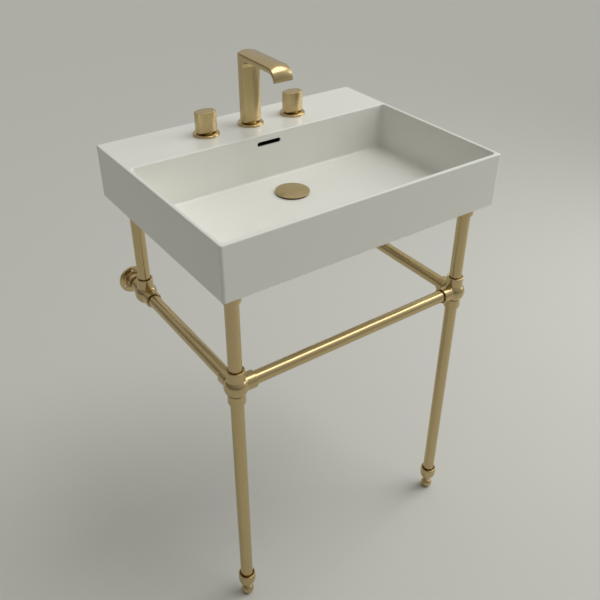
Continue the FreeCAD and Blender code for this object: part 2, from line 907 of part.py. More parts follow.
def make_spout():
    """Square-shouldered spout: column, level arm and a tip that curves down to a flat outlet."""
    body = doc.addObject("PartDesign::Body", "spout_shape")
    column = ("column_width / 2 - spout_end_bulge", "column_edge / 2", "column_depth / 2", "column_depth / 2")
    arm = ("arm_width / 2 - spout_end_bulge", "arm_edge / 2", "arm_depth / 2", "arm_depth / 2")
    shoulder_tilt = math.degrees(math.atan2(value("arm_edge"), value("column_edge")))
    shoulder = (
        "(column_width + arm_width) / 4 - spout_end_bulge",
        "sqrt(column_edge^2 + arm_edge^2) / 2",
        "sqrt(column_depth^2 + arm_depth^2) / 2",
        "sqrt(column_depth^2 + arm_depth^2) / 2",
    )
    half_width = arm[0]
    sections = [
        spout_section(body, "column_foot", "0", "knob_z", 0, *column),
        spout_section(body, "shoulder", "0", "rim_height + arm_height", shoulder_tilt, *shoulder),
        spout_section(body, "arm_end", "-arm_reach", "rim_height + arm_height", 90, *arm),
    ]
    loft(body, "column_and_arm", sections, True)
    middle = spout_section(
        body,
        "tip_middle",
        "-bend_reach",
        "rim_height + bend_height",
        value("bend_tilt"),
        half_width,
        "bend_edge / 2",
        "bend_front_crown",
        "bend_back_crown",
    )
    start = spout_section(body, "tip_start", "-arm_reach", "rim_height + arm_height", 90, *arm)
    end = spout_section(
        body,
        "tip_end",
        "-tip_reach",
        "rim_height + tip_height",
        180,
        half_width,
        "tip_edge / 2",
        "tip_edge / 2 + tip_front_crown",
        "tip_back_crown",
    )
    loft(body, "tip", [start, middle, end], False)
    place(body, "0", "tap_y", "0")
    socket = cylinder(
        "spout_socket",
        "spout_spigot_diameter / 2 + fit",
        "spout_socket_depth + ring_gap",
        ("0", "tap_y", "knob_z - ring_gap"),
    )
    rise_height = "rim_height + arm_height - knob_z"
    rise = cylinder("spout_rise", "waterway_diameter / 2", rise_height, ("0", "tap_y", "knob_z"))
    arm_at = ("0", "tap_y", "rim_height + arm_height")
    run = cylinder("spout_run", "port_bore / 2", "arm_reach", arm_at, "front")
    outlet_y = "tap_y - tip_reach + tip_back_crown / 2 - tip_edge / 2"
    outlet_z = "rim_height + tip_height"
    pocket = box(
        "aerator_pocket",
        ("-aerator_width / 2 - fit", outlet_y + " - aerator_depth / 2 - fit", outlet_z + " - tail_wall"),
        ("aerator_width / 2 + fit", outlet_y + " + aerator_depth / 2 + fit", outlet_z + " + aerator_height"),
    )
    drop = box(
        "outlet_drop",
        ("-port_bore / 2", outlet_y + " - aerator_depth / 2 + tail_wall", outlet_z),
        ("port_bore / 2", "tap_y - arm_reach + port_bore / 2", "rim_height + arm_height"),
    )
    spout = cut("spout", body, [socket, rise, run, pocket, drop])
    return [spout, make_aerator(outlet_y, outlet_z), base_ring("spout_base_ring", "0")] + spout_supply()


def make_aerator(outlet_y, outlet_z):
    """The slotted insert in the spout's outlet."""
    frame = box(
        "aerator_frame",
        ("-aerator_width / 2", outlet_y + " - aerator_depth / 2", outlet_z + " + aerator_recess"),
        ("aerator_width / 2", outlet_y + " + aerator_depth / 2", outlet_z + " + aerator_height"),
    )
    row = "(aerator_slot_count * (aerator_slot_width + aerator_rib) - aerator_rib)"
    slots = []
    for number in range(round(value("aerator_slot_count"))):
        start = "%d * (aerator_slot_width + aerator_rib) - %s / 2" % (number, row)
        end = start + " + aerator_slot_width"
        low = (start, outlet_y + " - aerator_depth / 4", outlet_z)
        high = (end, outlet_y + " + aerator_depth / 4", outlet_z + " + 2 * aerator_height")
        slots.append(box("aerator_slot_%d" % number, low, high))
    return cut("spout_aerator", frame, slots)


def spout_supply():
    """The spout's threaded shank through the deck, and the tee that the two valves feed."""
    shank = turned(
        "spout_shank",
        [
            ("waterway_diameter / 2", "shank_bottom_z"),
            ("shank_diameter / 2", "shank_bottom_z"),
            ("shank_diameter / 2", "valve_top_z"),
            ("spout_neck_diameter / 2", "valve_top_z"),
            ("spout_neck_diameter / 2", "knob_z"),
            ("spout_spigot_diameter / 2", "knob_z"),
            ("spout_spigot_diameter / 2", "knob_z + spout_socket_depth"),
            ("waterway_diameter / 2", "knob_z + spout_socket_depth"),
        ],
        ("0", "tap_y", "0"),
    )
    block = cylinder("tee_block", "valve_body_diameter / 2", "tee_height", ("0", "tap_y", "tee_z"))
    ports = []
    socket_at = ("0", "tap_y", "shank_bottom_z")
    bores = [cylinder("tee_socket", "shank_diameter / 2 + fit", "tee_entry * 2", socket_at)]
    port_at = ("0", "tap_y", "tee_z + (tee_height - tee_entry) / 2")
    for push in ("left", "right"):
        ports.append(cylinder("tee_port_" + push, "port_diameter / 2", "port_reach", port_at, push))
        bores.append(cylinder("tee_port_bore_" + push, "port_bore / 2", "port_reach * 2", port_at, push))
    bores.append(cylinder("tee_rise", "waterway_diameter / 2", "tee_height / 2", port_at))
    tee = cut("spout_tee", fused("tee_solid", [block] + ports), bores)
    return [shank, tee]


def make_tap_fixings():
    """The three equal sets of gasket, washer and nut that clamp the tap to the deck from below."""
    gaskets = []
    washers = []
    nuts = []
    bore = "(shank_diameter + 2 * fit)"
    gasket_z = "deck_under_z - tap_gasket_thickness"
    for name, x in TAP_PLACES:
        gasket_at = (x, "tap_y", gasket_z)
        gasket = sleeve(name + "_gasket", "tap_washer_diameter", bore, "tap_gasket_thickness", gasket_at)
        gaskets.append(gasket)
        washer_at = (x, "tap_y", "nut_top_z")
        washer = sleeve(name + "_washer", "tap_washer_diameter", bore, "tap_washer_thickness", washer_at)
        washers.append(washer)
        nut_at = (x, "tap_y", "nut_top_z - tap_nut_thickness")
        hexagon = prism(name + "_nut_body", "tap_nut_diameter", "tap_nut_thickness", nut_at)
        hole_at = (x, "tap_y", "nut_top_z - 2 * tap_nut_thickness")
        hole = cylinder(name + "_nut_bore", "shank_diameter / 2 + fit", "tap_nut_thickness * 3", hole_at)
        nuts.append(cut(name + "_nut", hexagon, [hole]))
    return [grouped("tap_gaskets", gaskets), grouped("tap_washers", washers), grouped("tap_lock_nuts", nuts)]


def grub_screw(name, centre, push, side):
    """A grub screw in a socket wall, with the hole that it needs."""
    bore = "tube_diameter / 2 + fit"
    wall = "(collar_diameter - tube_diameter) / 2"
    start = along(along(centre, push, "grub_reach"), side, bore)
    screw = cylinder(name + "_rod", "grub_diameter / 2", wall + " - grub_recess", start, side)
    key = prism(name + "_key", "grub_diameter / 2", wall, along(start, side, wall + " / 2"), side)
    hole = cylinder(name + "_hole", "grub_diameter / 2 + fit", wall + " + collar_round", start, side)
    return cut(name, screw, [key]), hole


def make_fitting(label, x, y, ports, screws):
    """A ball joint with a round socket for each tube."""
    centre = (x, y, "joint_height")
    solids = [primitive("Sphere", label + "_ball", at=centre, Radius="ball_diameter / 2")]
    tools = []
    for push, side in ports:
        name = "%s_%s" % (label, push)
        collar = rod(name + "_collar", "collar_diameter", "collar_reach", centre, push)
        rounded(collar, "collar_round", ring_at("collar_diameter / 2", "collar_reach"))
        solids.append(collar)
        seat = along(centre, push, "socket_seat")
        tools.append(cylinder(name + "_bore", "tube_diameter / 2 + fit", "collar_reach", seat, push))
        mouth = along(centre, push, "collar_reach - mouth_depth")
        groove = "tube_diameter / 2 + mouth_groove"
        tools.append(cylinder(name + "_mouth", groove, "collar_reach", mouth, push))
        screw, hole = grub_screw(name + "_grub", centre, push, side)
        screws.append(screw)
        tools.append(hole)
    return cut(label, fused(label + "_solid", solids), tools)


def tube(label, start, push, length):
    """A length of stand tube from one socket seat to the next."""
    return sleeve(label, "tube_diameter", "(tube_diameter - 2 * tube_wall)", length, start, push)


def top_flange(label, x, y):
    """The round plate under the basin with a socket for the tube."""
    section = [
        ("tube_diameter / 2 + fit", "-top_collar_length"),
        ("collar_diameter / 2 - collar_round", "-top_collar_length"),
        ("collar_diameter / 2", "-top_collar_length + collar_round"),
        ("collar_diameter / 2", "-collar_round"),
        ("collar_diameter / 2 + collar_round", "0"),
        ("top_plate_diameter / 2", "0"),
        ("top_plate_diameter / 2", "top_plate_thickness"),
        ("0", "top_plate_thickness"),
        ("0", "0"),
        ("tube_diameter / 2 + fit", "0"),
    ]
    return turned(label, section, (x, y, "plate_z"))


def wall_flange(label, x):
    """The round plate on the wall: tapered boss, tube socket and open screw holes."""
    section = [
        ("0", "0"),
        ("flange_diameter / 2", "0"),
        ("flange_diameter / 2", "flange_thickness"),
        ("flange_boss_root / 2", "flange_thickness"),
        ("collar_diameter / 2", "flange_boss_length"),
        ("tube_diameter / 2 + fit", "flange_boss_length"),
        ("tube_diameter / 2 + fit", "flange_boss_length - flange_socket_depth"),
        ("0", "flange_boss_length - flange_socket_depth"),
    ]
    plate = turned(label + "_plate", section, (x, "wall_y", "joint_height"), "front")
    rounded(plate, "ring_round", ring_at("flange_diameter / 2", "flange_thickness"))
    holes = []
    count = round(value("screw_count"))
    for number in range(count):
        angle = 90 + 360 / count * number
        across = "screw_circle / 2 * cos(%s)" % angle
        up = "screw_circle / 2 * sin(%s)" % angle
        holes.append(
            cylinder(
                "%s_hole_%d" % (label, number),
                "screw_hole_diameter / 2",
                "flange_boss_length * 2",
                ("%s + %s" % (x, across), "wall_y + flange_thickness", "joint_height + " + up),
                "front",
            )
        )
    return cut(label, plate, holes)


def make_foot(side, x):
    """The cup on the end of a leg, and the levelling foot with its stud."""
    at = (x, "front_y", "cup_bottom")
    cup = turned(
        side + "_foot_cup",
        [
            ("stud_diameter / 2 + fit", "0"),
            ("cup_base_diameter / 2", "0"),
            ("cup_swell_diameter / 2", "cup_swell_height"),
            ("cup_diameter / 2", "cup_shoulder_height"),
            ("cup_diameter / 2", "cup_height - 2 * collar_round"),
            ("cup_diameter / 2 - collar_round", "cup_height"),
            ("cup_mouth / 2", "cup_height"),
            ("cup_mouth / 2 - collar_round / 2", "cup_height - cup_mouth_depth"),
            ("tube_diameter / 2 + fit", "cup_height - cup_mouth_depth - collar_round"),
            ("tube_diameter / 2 + fit", "cup_seat"),
            ("stud_diameter / 2 + fit", "cup_seat"),
        ],
        at,
    )
    radius = "foot_diameter / 2"
    half = "foot_ball_height / 2"
    lift = (x, "front_y", half)
    ball = primitive("Sphere", side + "_foot_ball", at=lift, Radius=radius)
    slab = cylinder(side + "_foot_slab", "foot_diameter", "foot_ball_height", (x, "front_y", "0"))
    bulb = doc.addObject("Part::Common", side + "_foot_bulb")
    bulb.Base = ball
    bulb.Tool = slab
    neck = cylinder(
        side + "_foot_neck", "foot_neck_diameter / 2", "foot_neck_height", (x, "front_y", "foot_ball_height")
    )
    stud_height = "stud_length + foot_neck_height"
    stud = cylinder(side + "_foot_stud", "stud_diameter / 2", stud_height, (x, "front_y", "foot_ball_height"))
    foot = fused(side + "_foot", [bulb, neck, stud])
    return cup, foot


def jam_nut(side, x):
    return sleeve(
        side + "_jam_nut",
        "jam_nut_diameter",
        "(stud_diameter + 2 * fit)",
        "jam_nut_thickness",
        (x, "front_y", "jam_nut_z"),
    )


def make_stand():
    """Brass stand: two front legs, two short rear posts, side bars, front bar and wall flanges."""
    pieces = []
    screws = []
    pads = []
    jam_nuts = []
    upper_length = "plate_z - joint_height - socket_seat"
    for side, x, inward in (("left", "-leg_x", "right"), ("right", "leg_x", "left")):
        front = (x, "front_y", "joint_height")
        rear = (x, "rear_y", "joint_height")
        front_ports = [("up", "back"), ("down", "back"), ("back", "down"), (inward, "down")]
        rear_ports = [("up", inward), ("front", "down"), ("back", "down")]
        pieces.append(make_fitting(side + "_front_joint", x, "front_y", front_ports, screws))
        pieces.append(make_fitting(side + "_rear_joint", x, "rear_y", rear_ports, screws))
        pieces.append(tube(side + "_upper_leg", along(front, "up", "socket_seat"), "up", upper_length))
        pieces.append(tube(side + "_rear_post", along(rear, "up", "socket_seat"), "up", upper_length))
        lower_length = "joint_height - socket_seat - (cup_seat_z)"
        pieces.append(tube(side + "_lower_leg", (x, "front_y", "cup_seat_z"), "up", lower_length))
        bar_length = "rear_y - front_y - 2 * socket_seat"
        pieces.append(tube(side + "_side_bar", along(front, "back", "socket_seat"), "back", bar_length))
        stub_length = "rear_post_setback - socket_seat - (flange_boss_length - flange_socket_depth)"
        pieces.append(tube(side + "_wall_stub", along(rear, "back", "socket_seat"), "back", stub_length))
        pieces.append(wall_flange(side + "_wall_flange", x))
        for end, y in (("front", "front_y"), ("rear", "rear_y")):
            pieces.append(top_flange("%s_%s_top_flange" % (side, end), x, y))
            pad_at = (x, y, "under_z - top_pad_thickness")
            pad_radius = "top_plate_diameter / 2 - top_pad_inset"
            pads.append(cylinder("%s_%s_pad" % (side, end), pad_radius, "top_pad_thickness", pad_at))
        cup, foot = make_foot(side, x)
        pieces += [cup, foot]
        jam_nuts.append(jam_nut(side, x))
    bar_at = ("socket_seat - leg_x", "front_y", "joint_height")
    pieces.append(tube("front_bar", bar_at, "right", "2 * leg_x - 2 * socket_seat"))
    pieces.append(grouped("top_pads", pads))
    pieces.append(grouped("foot_jam_nuts", jam_nuts))
    pieces.append(grouped("socket_screws", screws))
    return pieces


def write_parts(pieces):
    """Checks the whole document, then writes one file for each piece."""
    for thing in doc.Objects:
        if any(word in state for state in thing.State for word in ("Invalid", "Error")):
            raise RuntimeError("%s failed: %s" % (thing.Name, thing.State))
    for piece in pieces:
        if piece.Shape.isNull() or not piece.Shape.isValid() or piece.Shape.Volume <= 0:
            raise RuntimeError(piece.Label + " has no valid solid")
    os.makedirs("parts", exist_ok=True)
    for piece in pieces:
        piece.Shape.exportStep(os.path.join("parts", piece.Label + ".step"))
    print("%d parts" % len(pieces))


fill_sheet()
pieces = make_basin()
pieces += make_waste()
pieces += make_plug()
pieces += make_handle("hot", "-handle_x", "right")
pieces += make_handle("cold", "handle_x", "left")
pieces += make_spout()
pieces += make_tap_fixings()
pieces += make_stand()
doc.recompute()
write_parts(pieces)
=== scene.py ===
"""Looks of the console sink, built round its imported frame.

Metres, +Z up, +X to the right and +Y to the back. The origin is below the middle of the basin, level with
the soles of the feet.
"""

import math

import bmesh
import bpy
from mathutils import Matrix, Vector


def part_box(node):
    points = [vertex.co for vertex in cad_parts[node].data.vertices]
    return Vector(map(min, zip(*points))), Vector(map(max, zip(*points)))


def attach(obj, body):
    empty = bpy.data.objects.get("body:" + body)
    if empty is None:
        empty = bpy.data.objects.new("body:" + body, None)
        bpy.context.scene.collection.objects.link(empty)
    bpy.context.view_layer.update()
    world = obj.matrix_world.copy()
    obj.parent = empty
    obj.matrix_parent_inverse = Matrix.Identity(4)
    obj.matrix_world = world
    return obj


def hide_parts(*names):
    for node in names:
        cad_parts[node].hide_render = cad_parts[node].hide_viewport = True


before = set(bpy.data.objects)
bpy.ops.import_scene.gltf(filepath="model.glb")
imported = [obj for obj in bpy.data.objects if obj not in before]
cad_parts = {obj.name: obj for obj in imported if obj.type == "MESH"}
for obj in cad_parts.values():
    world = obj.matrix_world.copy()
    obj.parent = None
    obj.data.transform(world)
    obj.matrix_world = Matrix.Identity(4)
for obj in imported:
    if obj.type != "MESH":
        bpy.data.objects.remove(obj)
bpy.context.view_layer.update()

bl_info = {
    "name": "Console sink",
    "version": (1, 0, 0),
    "blender": (4, 5, 0),
    "location": "3D View > Sidebar > Sink",
    "description": "Builds and finishes a ceramic console sink on a brushed brass stand",
    "category": "Object",
}

MM = 0.001
ROUND_STEPS = 72
ROUNDING_STEPS = 6
LONG_ARC_STEPS = 24
SHORT_ARC_STEPS = 6
MERGE = 0.002 * MM
# Edges sharper than the first are bevelled, and those sharper than the second stay crisp in the shading.
BEVELLED = math.radians(35)
CRISP = math.radians(32)
# A Mix node names its sockets alike for numbers and for colours, so they are told apart by their places.
SHARE, NUMBERS, COLOURS = 0, (2, 3), (6, 7)
MIXED_NUMBER, MIXED_COLOUR = 0, 2
# The overflow duct's middle and half its size, in metres, a little within its walls' outer faces. Inside it
# the glaze is painted near black as shade.
DUCT_MIDDLE = (0.0, 0.1050, 0.8765)
DUCT_REACH = (0.0318, 0.0078, 0.0118)
# Sizes below are in millimetres, as in the part's source.
FIT = 0.05
KNOB_EDGE = 17
KNOB_BULGE = 1.2
KNOB_SCREW_HOLE = 2.05
SPINDLE_HOLE = 4.05
SPINDLE_ENTRY = 16
COLUMN = (19, 8.5, 13)
ARM = (20, 4.8, 9)
ARM_HEIGHT = 1035.2
ARM_END = 96
TINY = 1e-6
SPOUT_BULGE = 1
THROAT_ANGLES = (0, 8, 16, 24, 31, 37.9, 41.6, 47, 54, 62, 71, 80, 90)
# How far the width has gone from the column's to the arm's, where the throat starts and ends.
THROAT_WIDENING = (0.45, 0.6)
ROOT_RISE = 1.5
# Start, bend and end of the tip: y, z, tilt, half edge, inner and outer crown.
TIP = (
    (-96, 1035.2, 90, 4.8, 9, 8.95),
    (-111.1, 1030.4, 130, 3.7, 9.3, 5.7),
    (-118.2, 1016, 180, 1.7, 13, 2.5),
)
TIP_STEPS = 16
OUTLET_CUT = 4
SPIGOT_HOLE = 10.05
SHANK_HOLE = 13.55
RING_ROUND = 1.8
SMALL_ROUND = 0.3
TUBE_WALL = 1.5
SOCKET_SEAT = 17
COLLAR_ROUND = 1.2
GROOVE = 0.7
GROOVE_WIDTH = 1.2
MOUTH_CHAMFER = 0.4
SCREW_HOLE = 2.55
SCREW_REACH = 28.5
PLATE = 4
PLATE_ROUND = 0.6
FLANGE = 4.5
BOSS_ROOT = 19
BOSS_ROOT_ROUND = 1.5
BOSS_END_ROUND = 0.7
SCREWS = 3
SCREW_CIRCLE = 22
WALL_SCREW_HOLE = 2.75
STUD = 5
# Radius, height and rounding of the cup's outside and mouth, then the heights of its tube seat.
CUP = (
    (11, 0, 0.5),
    (16, 5.6, 2.4),
    (18, 13.2, 4),
    (18, 29.6, 1),
    (16.8, 32, 0.4),
    (15.25, 32, 0.3),
    (14.65, 27),
)
CUP_SEAT = (25.8, 12)
# The same of the ball foot, from its sole up to the root of its stud. Two equal roundings that meet
# half-way up make the ball, flat where it stands.
FOOT = (
    (8.31, 0),
    (13, 3.9, 6.05),
    (13, 16.1, 6.05),
    (8.31, 20),
    (7.5, 20),
    (7.5, 28),
    (5, 28),
)
SUN_STRENGTH = 0.92
SUN_WIDTH = math.radians(40)
SUN_FROM = (0.42, -0.16, 0.89)
WINDOW_POWER = 15
WINDOW_SIZE = 1.4
WINDOW_PLACE = (2.0, -0.5, 1.5)
WINDOW_AIM = (0, 0, 0.85)
# Where the studio is brightest. Each range has the dot products with that way at which the studio is
# dimmest and brightest, then its strengths there: one for the light it gives, one for what metal mirrors.
BRIGHT_WAY = (0.46, 0.12, 0.88)
LIGHT_RANGE = (0.0, 1.0, 0.08, 1.02)
METAL_RANGE = (-0.2, 0.8, 0.25, 0.95)
CAMERA_PLACE = (-0.7526, -1.0746, 1.4524)
CAMERA_LENS = 44.86
CAMERA_AZIMUTH = math.radians(-35.33)
CAMERA_ELEVATION = math.radians(34.23)
CAMERA_ROLL = math.radians(-0.26)
UP = Vector((0, 0, 1))
DIRECTIONS = {
    "up": Vector((0, 0, 1)),
    "down": Vector((0, 0, -1)),
    "left": Vector((-1, 0, 0)),
    "right": Vector((1, 0, 0)),
    "front": Vector((0, -1, 0)),
    "back": Vector((0, 1, 0)),
}
SIDES = ("left", "right")


def linear(code):
    """An sRGB hex colour as linear red, green, blue and alpha."""
    channels = [int(code[i : i + 2], 16) / 255 for i in (1, 3, 5)]
    return tuple(c / 12.92 if c <= 0.04045 else ((c + 0.055) / 1.055) ** 2.4 for c in channels) + (1.0,)


# ---------------------------------------------------------------- values that a user may change


def length(name, description, default):
    """A size that the user may change, in metres."""
    return bpy.props.FloatProperty(
        name=name,
        description=description,
        default=default,
        min=0.0,
        precision=5,
        subtype="DISTANCE",
        unit="LENGTH",
    )


def colour(name, description, code):
    """A colour that the user may change, first given in sRGB hex."""
    return bpy.props.FloatVectorProperty(
        name=name,
        description=description,
        default=linear(code),
        size=4,
        min=0.0,
        max=1.0,
        subtype="COLOR",
    )


class SinkSizes(bpy.types.PropertyGroup):
    """Sizes of the stand's round pieces, of roundings and grooves, and of the patterns in the finishes."""

    edge_round: length("Edge round", "Rounding of the brass pieces' crisp edges", 0.5 * MM)
    collar_flare: length("Collar flare", "Hollow rounding where a socket flows into its ball", 3.2 * MM)
    spout_throat: length("Spout throat", "Hollow rounding between the spout's column and its arm", 15 * MM)
    mouth_groove: length("Mouth groove", "Gap round a tube where it enters its socket", 1.9 * MM)
    mouth_depth: length("Mouth depth", "Depth of that gap", 2.2 * MM)
    tube_radius: length("Tube radius", "Outside radius of the stand's tubes", 12.7 * MM)
    collar_radius: length("Collar radius", "Outside radius of the sockets", 16.75 * MM)
    ball_radius: length("Ball radius", "Radius of the stand's ball joints", 22.75 * MM)
    collar_reach: length("Collar reach", "From the middle of a ball to the end of a socket", 36.5 * MM)
    brush_pitch: length("Brush pitch", "Distance between brushing lines, coarse enough to show", 0.9 * MM)
    brush_run: length("Brush run", "Length of one brushing line", 60 * MM)
    brush_depth: length("Brush depth", "Depth of the brushing lines and of the other grains", 0.05 * MM)
    brushed_edge: length("Brushed edge", "Softness of the crisp edges of brushed pieces", 0.6 * MM)
    turned_edge: length("Turned edge", "Softness of the crisp edges of turned and cast pieces", 0.8 * MM)
    glaze_edge: length("Glaze edge", "Softness of the fired glaze over an edge", 1.2 * MM)
    glaze_wave: length("Glaze wave", "Width of the glaze's faint orange peel", 9 * MM)
    glaze_depth: length("Glaze depth", "Depth of that orange peel", 0.2 * MM)
    glaze_drift: length("Glaze drift", "Width over which the glaze's sheen changes", 110 * MM)
    satin_grain: length("Satin grain", "Width of the grain of coated satin brass", 1.1 * MM)
    machined_grain: length("Machined grain", "Width of the grain of bare brass and steel", 0.8 * MM)
    moulded_grain: length("Moulded grain", "Width of the skin's grain on rubber and plastic", 1.1 * MM)
    floor_mottle: length("Floor mottle", "Width of the mottle left by the paint roller", 140 * MM)


class SinkColours(bpy.types.PropertyGroup):
    """Colours of the finishes and the studio, and of the painted shade inside the overflow."""

    glaze: colour("Glaze", "White satin glaze", "#F2F2EB")
    champagne: colour("Champagne brass", "Reflection of the coated brass", "#CDB88C")
    champagne_dark: colour("Champagne brass, low", "The same in the low of a brushing line", "#C0AA7C")
    raw_brass: colour("Raw brass", "Machined brass below the deck", "#C6AA6C")
    steel: colour("Steel", "Stainless screws and washers", "#B4B4B0")
    rubber: colour("Rubber", "Black seals", "#18181A")
    acetal: colour("Acetal", "White moulded insert", "#D8D8D2")
    # Painted shade: the overflow's inside is coloured near black because it lies in shadow, not because this
    # is the clay's own colour.
    painted_duct_shade: colour("Duct", "Bare clay in the shade of the overflow", "#1A1A18")
    floor: colour("Floor", "Plain pale studio floor", "#CDCDC7")
    backdrop: colour("Backdrop", "Plain pale studio surroundings", "#CFCFCA")


def sizes():
    return bpy.context.scene.sink_sizes


def colours():
    return bpy.context.scene.sink_colours


# ---------------------------------------------------------------- shapes


def turn_to(push, place=(0, 0, 0)):
    """Carries +Z to a named direction and the origin to a place in millimetres."""
    turn = UP.rotation_difference(DIRECTIONS[push]).to_matrix().to_4x4()
    return Matrix.Translation(Vector(place) * MM) @ turn


def along(place, push, distance):
    """The point a distance in millimetres from another, in a named direction."""
    return Vector(place) + DIRECTIONS[push] * distance


def merged(bm, kept):
    """Merges the vertices made since the kept ones, and gives those that are left of them."""
    bmesh.ops.remove_doubles(bm, verts=[v for v in bm.verts if v not in kept], dist=MERGE)
    return [v for v in bm.verts if v not in kept]


def spun(bm, profile, push="up", place=(0, 0, 0), closed=False):
    """Spins a half section of (radius, height[, rounding]) millimetres about an axis through a place."""
    kept = set(bm.verts)
    ring = [bm.verts.new((point[0] * MM, 0, point[1] * MM)) for point in profile]
    for pair in zip(ring, ring[1:] + ring[:1] if closed else ring[1:]):
        bm.edges.new(pair)
    for vertex, point in zip(ring, profile):
        if len(point) == 3:
            bmesh.ops.bevel(
                bm,
                geom=[vertex],
                offset=point[2] * MM,
                offset_type="OFFSET",
                segments=ROUNDING_STEPS,
                profile=0.5,
                affect="VERTICES",
                material=-1,
            )
    section = [v for v in bm.verts if v not in kept]
    wires = [e for e in bm.edges if e.is_wire and e.verts[0] not in kept]
    bmesh.ops.spin(
        bm,
        geom=section + wires,
        cent=(0, 0, 0),
        axis=UP,
        angle=math.tau,
        steps=ROUND_STEPS,
        use_merge=True,
        use_duplicate=False,
    )
    fresh = merged(bm, kept)
    bmesh.ops.transform(bm, matrix=turn_to(push, place), verts=fresh)
    return fresh


def rod(bm, radius, start, push, reach):
    """A plain closed rod, to cut with."""
    return spun(bm, [(0, 0), (radius, 0), (radius, reach), (0, reach)], push, start)


def lens_ring(bm, section, matrix):
    """A closed ring of four arcs, each swept from one vertex.

    Section: half width, half edge, inner and outer crown and end bulge, in millimetres.
    """
    half, edge, inner, outer, bulge = section
    corners = [Vector((x, y, 0)) for x, y in ((-half, -edge), (half, -edge), (half, edge), (-half, edge))]
    rises = [inner - edge, bulge, outer - edge, bulge]
    kept = set(bm.verts)
    for number, (start, rise) in enumerate(zip(corners, rises)):
        end = corners[(number + 1) % 4]
        chord = end - start
        radius = (chord.length_squared / 4 + rise**2) / (2 * rise)
        inward = UP.cross(chord).normalized()
        centre = (start + end) / 2 + inward * (radius - rise)
        first = bm.verts.new(start * MM)
        bmesh.ops.spin(
            bm,
            geom=[first],
            cent=centre * MM,
            axis=UP,
            angle=2 * math.asin(chord.length / 2 / radius),
            steps=LONG_ARC_STEPS if number % 2 == 0 else SHORT_ARC_STEPS,
            use_duplicate=False,
        )
    fresh = merged(bm, kept)
    bmesh.ops.transform(bm, matrix=matrix, verts=fresh)
    return [e for e in bm.edges if e.is_wire and e.verts[0] in set(fresh)]


def skinned(bm, rings):
    """Joins rings in turn and closes both ends."""
    for low, high in zip(rings, rings[1:]):
        bmesh.ops.bridge_loops(bm, edges=low + high)
    bmesh.ops.edgeloop_fill(bm, edges=rings[0])
    bmesh.ops.edgeloop_fill(bm, edges=rings[-1])


def solid(bm):
    """A closed shape as a loose object, for joining or cutting."""
    bmesh.ops.recalc_face_normals(bm, faces=bm.faces)
    mesh = bpy.data.meshes.new("shape")
    bm.to_mesh(mesh)
    bm.free()
    thing = bpy.data.objects.new("shape", mesh)
    bpy.context.scene.collection.objects.link(thing)
    return thing


def combined(base, others, operation):
    """The loose object left when closed shapes are joined to the base or cut from it. The others go."""
    for other in others:
        step = base.modifiers.new("Step", "BOOLEAN")
        step.operation = operation
        step.solver = "MANIFOLD"
        step.object = other
    depsgraph = bpy.context.evaluated_depsgraph_get()
    mesh = bpy.data.meshes.new_from_object(base.evaluated_get(depsgraph))
    old = base.data
    base.modifiers.clear()
    base.data = mesh
    bpy.data.meshes.remove(old)
    for thing in others:
        old = thing.data
        bpy.data.objects.remove(thing)
        bpy.data.meshes.remove(old)
    return base


def piece(name, thing, body, material, node):
    """Makes a loose object a brass piece, smooth except at crisp edges, in place of its CAD node."""
    bm = bmesh.new()
    bm.from_mesh(thing.data)
    bmesh.ops.remove_doubles(bm, verts=bm.verts, dist=MERGE)
    bmesh.ops.recalc_face_normals(bm, faces=bm.faces)
    bm.to_mesh(thing.data)
    bm.free()
    thing.name = name
    thing.data.name = name
    thing.data.shade_smooth()
    thing.data.set_sharp_from_angle(angle=CRISP)
    thing.data.materials.clear()
    thing.data.materials.append(material)
    weight = thing.modifiers.new("Even shading", "WEIGHTED_NORMAL")
    weight.keep_sharp = True
    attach(thing, body)
    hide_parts(node)


def middle(node):
    """The middle of a CAD node and its low and high ends, in millimetres."""
    low, high = (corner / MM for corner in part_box(node))
    return (low + high) / 2, low, high


def paint(names, material):
    """Gives its finish to each CAD node that stays shown."""
    for name in names:
        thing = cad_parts[name]
        thing.data.materials.clear()
        thing.data.materials.append(material)


# ---------------------------------------------------------------- materials


def add(owner, kind, settings=None, inputs=None):
    """Adds a shader node. Inputs hold plain values, or the output sockets of other nodes."""
    made = owner.node_tree.nodes.new(kind)
    for name, value in (settings or {}).items():
        setattr(made, name, value)
    for name, value in (inputs or {}).items():
        if isinstance(value, bpy.types.NodeSocket):
            owner.node_tree.links.new(value, made.inputs[name])
        else:
            made.inputs[name].default_value = value
    return made


def shared(name, build, *values):
    """The material of that name. Its builder gives its surface once, and every piece then shares it."""
    if name not in bpy.data.materials:
        material = bpy.data.materials.new(name)
        material.use_nodes = True
        material.node_tree.nodes.clear()
        surface = build(material, *values)
        add(material, "ShaderNodeOutputMaterial", {}, {"Surface": surface})
    return bpy.data.materials[name]


